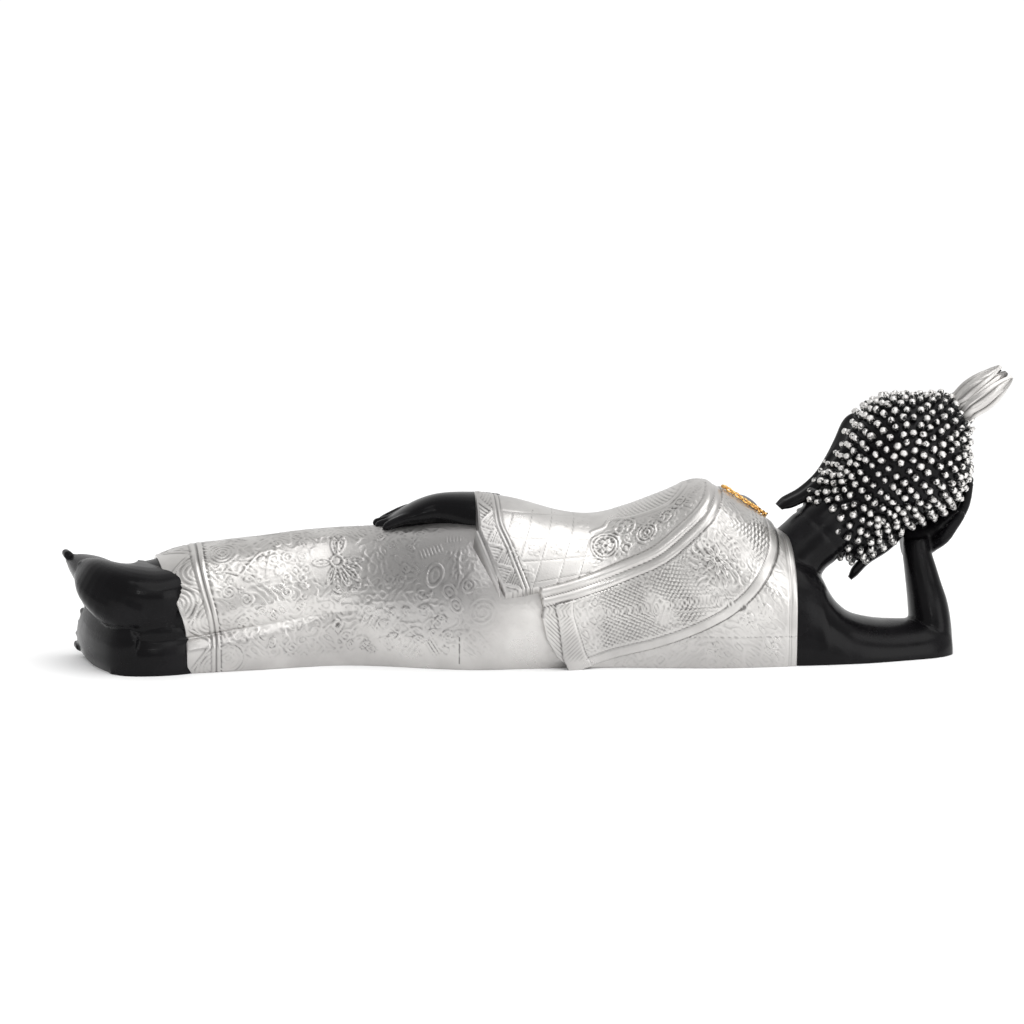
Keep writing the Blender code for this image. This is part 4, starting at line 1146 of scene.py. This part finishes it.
def makeCurls():
    bpy.ops.mesh.primitive_ico_sphere_add(subdivisions=1, radius=1)
    guide = bpy.context.object
    editAll(guide, bpy.ops.mesh.subdivide, number_cuts=hair["cuts"])
    seeds = [vert.co.copy() for vert in guide.data.vertices]
    bpy.data.objects.remove(guide)
    curl = oneCurl()
    shape = np.array([vert.co for vert in curl.data.vertices])
    tip = (shape[:, 2] / mm - hair["curl"][0][1]) / (hair["curl"][-1][1] - hair["curl"][0][1])
    random = np.random.default_rng(4)
    copies = []
    for seed in seeds:
        place, way, hairy = onScalp(seed + Vector(random.normal(0, hair["jitter"], 3)))
        if not hairy:
            continue
        copy = bpy.data.objects.new("curl", curl.data.copy())
        bpy.context.scene.collection.objects.link(copy)
        lean = Vector(random.uniform(-hair["lean"], hair["lean"], 3))
        turn = (way + lean).normalized().to_track_quat("Z", "Y").to_matrix().to_4x4()
        spin = Matrix.Rotation(random.uniform(0, 6.28), 4, "Z")
        size = [random.uniform(*hair[name]) for name in ("widths", "widths", "heights")]
        for vert in copy.data.vertices:
            vert.co += Vector(random.normal(0, hair["uneven"] * mm, 3))
        copy.data.transform(Matrix.Translation(toWorld(place)) @ turn @ spin @ Matrix.Diagonal((*size, 1.0)))
        setAttribute(copy.data, "tip", tip + random.uniform(*hair["tipShift"]))
        copies.append(copy)
    bpy.data.objects.remove(curl)
    return finishPiece(joined("curls", copies), curlFinish)


face = {
    # height, half width, depth of the front
    "form": [(-42, 3.0, 16.0), (-40.5, 8.0, 22.0), (-37, 12.5, 27.0), (-32, 16.5, 29.5), (-26, 19.6, 29.5),
             (-18, 21.8, 30.2), (-10, 23.0, 29.6), (-2, 24.8, 29.0), (6, 26.4, 28.8), (12, 26.0, 27.0),
             (18, 23.0, 22.5)],
    "back": -6.0,
    "power": 2.35,
    "rows": 150,
    "columns": 130,
}


def faceRelief(left, up):  # how far each feature stands out of the face, in mm
    side = np.abs(left)
    bridge = ramp(up, -20.0, -17.4) * (1 - ramp(up, -2.0, 6.0))
    nose = bridge * (2.0 + 5.2 * ramp(-up, 1.0, 16.0)) * line(left, 2.6 + 1.4 * ramp(-up, 6.0, 16.0))
    wings = 2.2 * line(side - 3.9, 1.9) * line(up + 16.6, 2.3)
    brow = 2.5 + 2.4 * np.cos((side - 11.5) / 6.5)
    brows = 1.1 * line(up - brow, 1.5) * ramp(side, 2.5, 6.0) * (1 - ramp(side, 18.0, 22.0))
    sockets = -2.4 * line(side - 10.5, 6.5) * line(up + 4.5, 4.2)
    lids = 2.5 * line(side - 11.0, 4.8) * line(up + 5.0, 2.4)
    lash = -0.55 * line(up + 6.9 - 0.035 * (side - 11.0) ** 2, 0.35) * (1 - ramp(np.abs(side - 11.0), 4.4, 6.0))
    fold = -0.45 * line(up + 2.6 + 0.045 * (side - 11.0) ** 2, 0.4) * (1 - ramp(np.abs(side - 11.0), 4.8, 6.4))
    lipTop = 2.0 * line(side, 6.6) * line(up + 23.6 - 0.5 * np.cos(side * 0.7), 1.3)
    lipLow = 2.2 * line(side, 5.2) * line(up + 27.2, 1.6)
    mouth = -0.9 * line(up + 25.4 - 0.012 * side**2, 0.4) * (1 - ramp(side, 6.0, 8.0))
    philtrum = -0.4 * line(left, 0.9) * line(up + 21.0, 1.4)
    chin = 1.6 * line(left, 6.0) * line(up + 35.0, 4.0)
    return nose + wings + brows + sockets + lids + lash + fold + lipTop + lipLow + mouth + philtrum + chin


def makeFace():
    heights = np.concatenate([np.linspace(-42, -40.5, 8)[:-1], np.linspace(-40.5, 17.5, face["rows"])])
    turns = np.linspace(0, math.pi, face["columns"])
    shape = curveThrough(face["form"], heights)
    back, power = face["back"], face["power"]
    c, s = np.cos(turns), np.sin(turns)
    across, out = np.sign(c) * np.abs(c) ** (2 / power), np.abs(s) ** (2 / power)
    rings = []
    for up, (halfWidth, front) in zip(heights, shape):
        left = halfWidth * across
        depth = back + (front - back) * out + faceRelief(left, up) * out
        ring = [onHead(a, d, up) for a, d in zip(left, depth)]
        ring += [onHead(-halfWidth * 0.9, back - 6.0, up), onHead(halfWidth * 0.9, back - 6.0, up)]
        rings.append(ring)
    return finishPiece(loft("face", rings), skinFinish, angle=50)


ear = {
    # height, middle of the thickness, half thickness, back and front edges
    "rows": [(8.0, 27.4, 0.8, -1.0, 3.0), (6.0, 28.2, 2.2, -4.5, 6.0), (1.0, 27.6, 2.7, -6.5, 8.0),
             (-7.5, 24.6, 2.7, -6.4, 7.5), (-16.0, 22.4, 2.6, -5.6, 6.0), (-25.0, 21.2, 2.4, -5.0, 4.5),
             (-35.0, 21.9, 2.4, -4.8, 4.2), (-43.0, 24.4, 2.3, -4.6, 3.8), (-46.8, 25.7, 1.2, -3.2, 2.4)],
    "flare": 0.3,  # how far out the front edge stands, for each part of the depth
    "power": 2.6,
    "sides": 40,
    "rings": 90,
}


def makeEar(name, side):
    table = [(-row[0], *row[1:]) for row in ear["rows"]]
    heights = np.linspace(-8.0, 47.0, ear["rings"])
    rings = []
    for down, (middle, half, back, front) in zip(heights, curveThrough(table, heights)):
        ring = []
        place = middle if side > 0 else -middle * (0.8 + 0.26 * math.exp(-((down - 24) / 13) ** 2))
        upper = 1 - float(ramp(np.array(down), 10.0, 22.0))
        for j in range(ear["sides"]):
            a, b = squashed(2 * math.pi * (j + 0.5) / ear["sides"], ear["power"])
            hollow = -1.5 * upper * math.exp(-((b + 0.1) / 0.42) ** 2) * (1 if down > -5 else 0.2)
            hollow += 0.9 * upper * math.exp(-((b + 0.05 - 0.02 * down) / 0.13) ** 2)
            hollow += -0.7 * (1 - upper) * math.exp(-(b / 0.3) ** 2) * (1 if down < 43 else 0.3)
            thick = half * a + (hollow if a * side > 0.3 else 0.0) * side
            deep = (front - back) / 2 * b
            ring.append(onHead(place + thick + side * ear["flare"] * deep, (back + front) / 2 - 1.5 + deep, -down))
        rings.append(ring)
    return finishPiece(loft(name, rings), skinFinish, angle=60)


flame = {
    # height and radius of the bud's middle, and of the petals round it
    "core": [(36.0, 5.4), (41.0, 5.8), (43.5, 5.2), (46.5, 5.6), (51.0, 6.2), (56.0, 5.6), (61.0, 4.3), (65.0, 2.4),
             (67.5, 1.0)],
    "petals": [(38.5, 5.6), (42.0, 6.0), (44.5, 6.0), (48.0, 6.6), (51.5, 6.9), (56.0, 6.5), (61.0, 5.2), (66.0, 3.5),
               (71.0, 1.5)],
    # how many petals, first angle, lowest and highest point, half width, how far out, how far the tip flares
    "rounds": [(4, 0.35, 40.0, 64.8, 5.4, -0.5, 0.5), (4, 1.13, 38.8, 67.0, 4.9, 0.2, 1.0)],
    "thickness": 0.75,
    "place": (-0.6, -2.0, 36.5),
    "lean": 0.125,
}


def onFlame(radius, angle, up):
    left, front, foot = flame["place"]
    return onHead(radius * math.cos(angle) + left - flame["lean"] * (up - foot), radius * math.sin(angle) + front, up)


def petal(angle, low, high, width, out, flare):
    bpy.ops.mesh.primitive_grid_add(x_subdivisions=18, y_subdivisions=28, size=2)
    piece = bpy.context.object
    spots = np.array([vert.co for vert in piece.data.vertices])
    share = (spots[:, 1] + 1) / 2
    radius = curveThrough(flame["petals"], low + share * (high - low))[:, 0]
    patinaAndShade = []
    for vert, v, u, r in zip(piece.data.vertices, spots[:, 0], share, radius):
        half = width * math.sin(math.pi * min(0.16 + 0.83 * u, 0.985)) ** 0.8
        edge = math.exp(-((abs(v) - 0.86) / 0.15) ** 2)
        groove = math.exp(-((abs(v) - 0.56) / 0.19) ** 2)
        r += out + flare * u**7 + 0.9 * edge - 0.5 * groove + 0.25 * math.exp(-((v / 0.16) ** 2)) * u
        vert.co = onFlame(r, angle + v * half / max(r, 1.6), low + u * (high - low))
        # darker in the grooves, as patina and painted shade, and painted shade towards the petal's foot
        patinaAndShade.append(1.0 * groove + 0.8 * max(0.0, 1 - 4 * u))
    setAttribute(piece.data, "hollow", patinaAndShade)
    piece.data.transform(Matrix.Translation(-originShift) @ Matrix.Scale(mm, 4))
    solidify = piece.modifiers.new("Thickness", "SOLIDIFY")
    solidify.thickness = flame["thickness"] * mm
    solidify.offset = -1
    applyAll(piece)
    return piece


def makeFlame():
    heights = np.linspace(36.0, 67.5, 26)
    core = loft("flame", [[onFlame(radius, t, up) for t in np.linspace(0, 2 * math.pi, 32, endpoint=False)]
                          for up, (radius,) in zip(heights, curveThrough(flame["core"], heights))])
    # the bud's middle is darkened all over: painted shade between the petals
    setAttribute(core.data, "hollow", np.full(len(core.data.vertices), 1.0))
    parts = [core]
    for count, first, *shape in flame["rounds"]:
        parts += [petal(first + 2 * math.pi * i / count, *shape) for i in range(count)]
    whole = joined("flame", parts)
    turnOutwards(whole)
    return finishPiece(whole, silverFinish, angle=55)


makeScalp()
makeCurls()
makeFace()
makeEar("left_ear", 1)
makeEar("right_ear", -1)
makeFlame()
print("head modelled")


# The trim on the shoulder

trimCore = (-11.0, 20.0)
robeTree = BVHTree.FromObject(carvedRobe, bpy.context.evaluated_depsgraph_get())


def seat(x, turn):  # where a ray towards the body's middle meets the cloth
    turn = math.radians(turn)
    core = toWorld((x, *trimCore))
    out = Vector((0, math.cos(turn), math.sin(turn)))
    return robeTree.ray_cast(core + out * 0.3, -out)[:2]


chain = {
    "path": [(80, 95), (86, 96), (92, 96), (97, 94), (100.5, 87), (101.2, 74), (100.6, 60), (98.2, 45), (92, 30),
             (83.5, 15), (71, 0), (60, -9)],
    "pitch": 2.15,
    "length": 3.5,
    "width": 2.7,
    "wire": 0.5,
    "tilt": 38,
    "lift": 1.15,
    "steps": 24,  # of the guide, between two of the path's points
    "minor": 0.3,  # the torus's thickness before it takes the wire's
}


def makeChain():
    guide = []
    steps = chain["steps"]
    for (x, turn), (x2, turn2) in zip(chain["path"], chain["path"][1:]):
        guide += [seat(x + (x2 - x) * i / steps, turn + (turn2 - turn) * i / steps) for i in range(steps)]
    walked = np.concatenate([[0], np.cumsum([(b[0] - a[0]).length for a, b in zip(guide, guide[1:])])])
    count = int(walked[-1] / (chain["pitch"] * mm))
    wire, minor = chain["wire"], chain["minor"]
    half, wide = chain["length"] / 2 - wire, chain["width"] / 2 - wire
    links = []
    for i in range(count):
        k = int(np.searchsorted(walked, (i + 0.5) * walked[-1] / count))
        near = guide[max(k - 8, 0):k + 9]
        normal = sum((n for p, n in near), Vector()).normalized()
        ahead = (near[-1][0] - near[0][0]).normalized()
        across = normal.cross(ahead).normalized()
        normal = ahead.cross(across)
        bpy.ops.mesh.primitive_torus_add(major_segments=18, minor_segments=7, major_radius=1.0, minor_radius=minor)
        link = bpy.context.object
        for vert in link.data.vertices:
            r = math.hypot(vert.co.x, vert.co.y)
            cos, sin = vert.co.x / r, vert.co.y / r
            out = (r - 1.0) / minor * wire
            vert.co = ((half + out) * cos, (wide + out) * sin, vert.co.z / minor * wire)
        tilt = math.radians(chain["tilt"] * (1 if i % 2 else -1))
        turn = Matrix((ahead, across, normal)).transposed().to_4x4()
        link.data.transform(Matrix.Translation(guide[k][0] + normal * chain["lift"] * mm) @ turn
                            @ Matrix.Rotation(tilt, 4, "X") @ Matrix.Scale(mm, 4))
        links.append(link)
    return finishPiece(joined("chain_links", links), goldFinish, "gold_chain")


stone = {"place": (92.5, 88), "length": 11.5, "width": 6.2, "height": 2.6, "lift": 0.3, "cut": -0.12, "flatness": 0.85}


def makeStone():
    x, turn = stone["place"]
    point, normal = seat(x, turn)
    ahead = (seat(x + 4, turn)[0] - seat(x - 4, turn)[0]).normalized()
    across = Vector((0, 1, 0))
    normal = ahead.cross(across).normalized()
    if normal.z < 0:
        normal.negate()
    bpy.ops.mesh.primitive_uv_sphere_add(segments=48, ring_count=32, radius=1)
    gem = bpy.context.object
    editAll(gem, bpy.ops.mesh.bisect, plane_co=(0, 0, stone["cut"]), plane_no=(0, 0, 1), clear_inner=True,
            use_fill=True)
    for vert in gem.data.vertices:
        vert.co.z = math.copysign(abs(vert.co.z) ** stone["flatness"], vert.co.z)
    turn = Matrix((ahead * stone["length"] / 2, across * stone["width"] / 2, normal * stone["height"])).transposed()
    gem.data.transform(Matrix.Translation(point + normal * stone["lift"] * mm) @ turn.to_4x4() @ Matrix.Scale(mm, 4))
    gem.name = "glass_stone"
    return finishPiece(gem, glassFinish, "shoulder_stone")


makeChain()
makeStone()
print("trim set")


# The studio

studio = {
    "target": (-0.01415, 0.0028, 0.0633),
    "distance": 1.0736,
    "azimuth": -4.5,
    "elevation": 8.0,
    "lens": 85.0,
    "sensor": 36,
    "floorRadius": 1.35,
    "floorTones": ((0.94, 0.94, 0.94), (0.96, 0.96, 0.96)),
    "floorRoughness": 0.7,
    "lightsAim": (0, 0, 0.05),
    # place, size and power of each soft light
    "lights": {
        "overhead": ((0.4, -0.35, 1.1), (1.2, 0.9), 5.8),
        "right": ((1.1, -1.0, 0.45), (0.8, 0.9), 5.0),
        "front": ((0.2, -1.1, 0.85), (0.7, 0.6), 1.2),
        "spot": ((-0.1, -1.2, 0.6), (0.1, 0.1), 0.45),
    },
    "roomLight": 1.06,
    "roomReflected": (0.5, 0.85),  # as glossy surfaces see it: behind the camera, and behind the figure
}


def addLight(name, place, size, power):
    bpy.ops.object.light_add(type="AREA", location=place)
    light = bpy.context.object
    light.name = name
    light.data.shape = "RECTANGLE"
    light.data.size, light.data.size_y = size
    light.data.energy = power
    light.rotation_euler = (Vector(place) - Vector(studio["lightsAim"])).to_track_quat("Z", "Y").to_euler()


def makeStudio():
    bpy.ops.mesh.primitive_circle_add(vertices=96, radius=studio["floorRadius"], fill_type="NGON")
    floor = bpy.context.object
    floor.name = "floor"
    pale = Finish("pale_floor")
    pale.set(Base_Color=pale.blend(pale.noise(3.0, 2.0), *studio["floorTones"]), Roughness=studio["floorRoughness"])
    floor.data.materials.append(pale.material)
    for name, values in studio["lights"].items():
        addLight(name, *values)
    world = bpy.data.worlds.new("studio")
    bpy.context.scene.world = world
    world.use_nodes = True
    room = Finish(tree=world.node_tree)
    background = room.nodes["Background"]
    way = room.nodes.new("ShaderNodeTexCoord").outputs["Generated"]
    depth = room.add("ShaderNodeSeparateXYZ", Vector=way).outputs["Y"]
    isGlossy = room.nodes.new("ShaderNodeLightPath").outputs["Is Glossy Ray"]
    light = studio["roomLight"]
    change = room.maths(room.ramp(depth, -0.1, 0.6, *studio["roomReflected"]), light, "SUBTRACT")
    room.feed(background.inputs["Strength"], room.maths(room.maths(isGlossy, change), light, "ADD"))
    background.inputs["Color"].default_value = (1, 1, 1, 1)
    bpy.context.scene.view_settings.view_transform = "Standard"
    azimuth, elevation = math.radians(studio["azimuth"]), math.radians(studio["elevation"])
    back = Vector((math.sin(azimuth) * math.cos(elevation), -math.cos(azimuth) * math.cos(elevation),
                   math.sin(elevation)))
    bpy.ops.object.camera_add(location=Vector(studio["target"]) + back * studio["distance"])
    camera = bpy.context.object
    camera.rotation_euler = back.to_track_quat("Z", "Y").to_euler()
    camera.data.lens = studio["lens"]
    camera.data.sensor_width = studio["sensor"]
    camera.data.clip_start = 0.01
    bpy.context.scene.camera = camera


makeStudio()
print("studio ready")
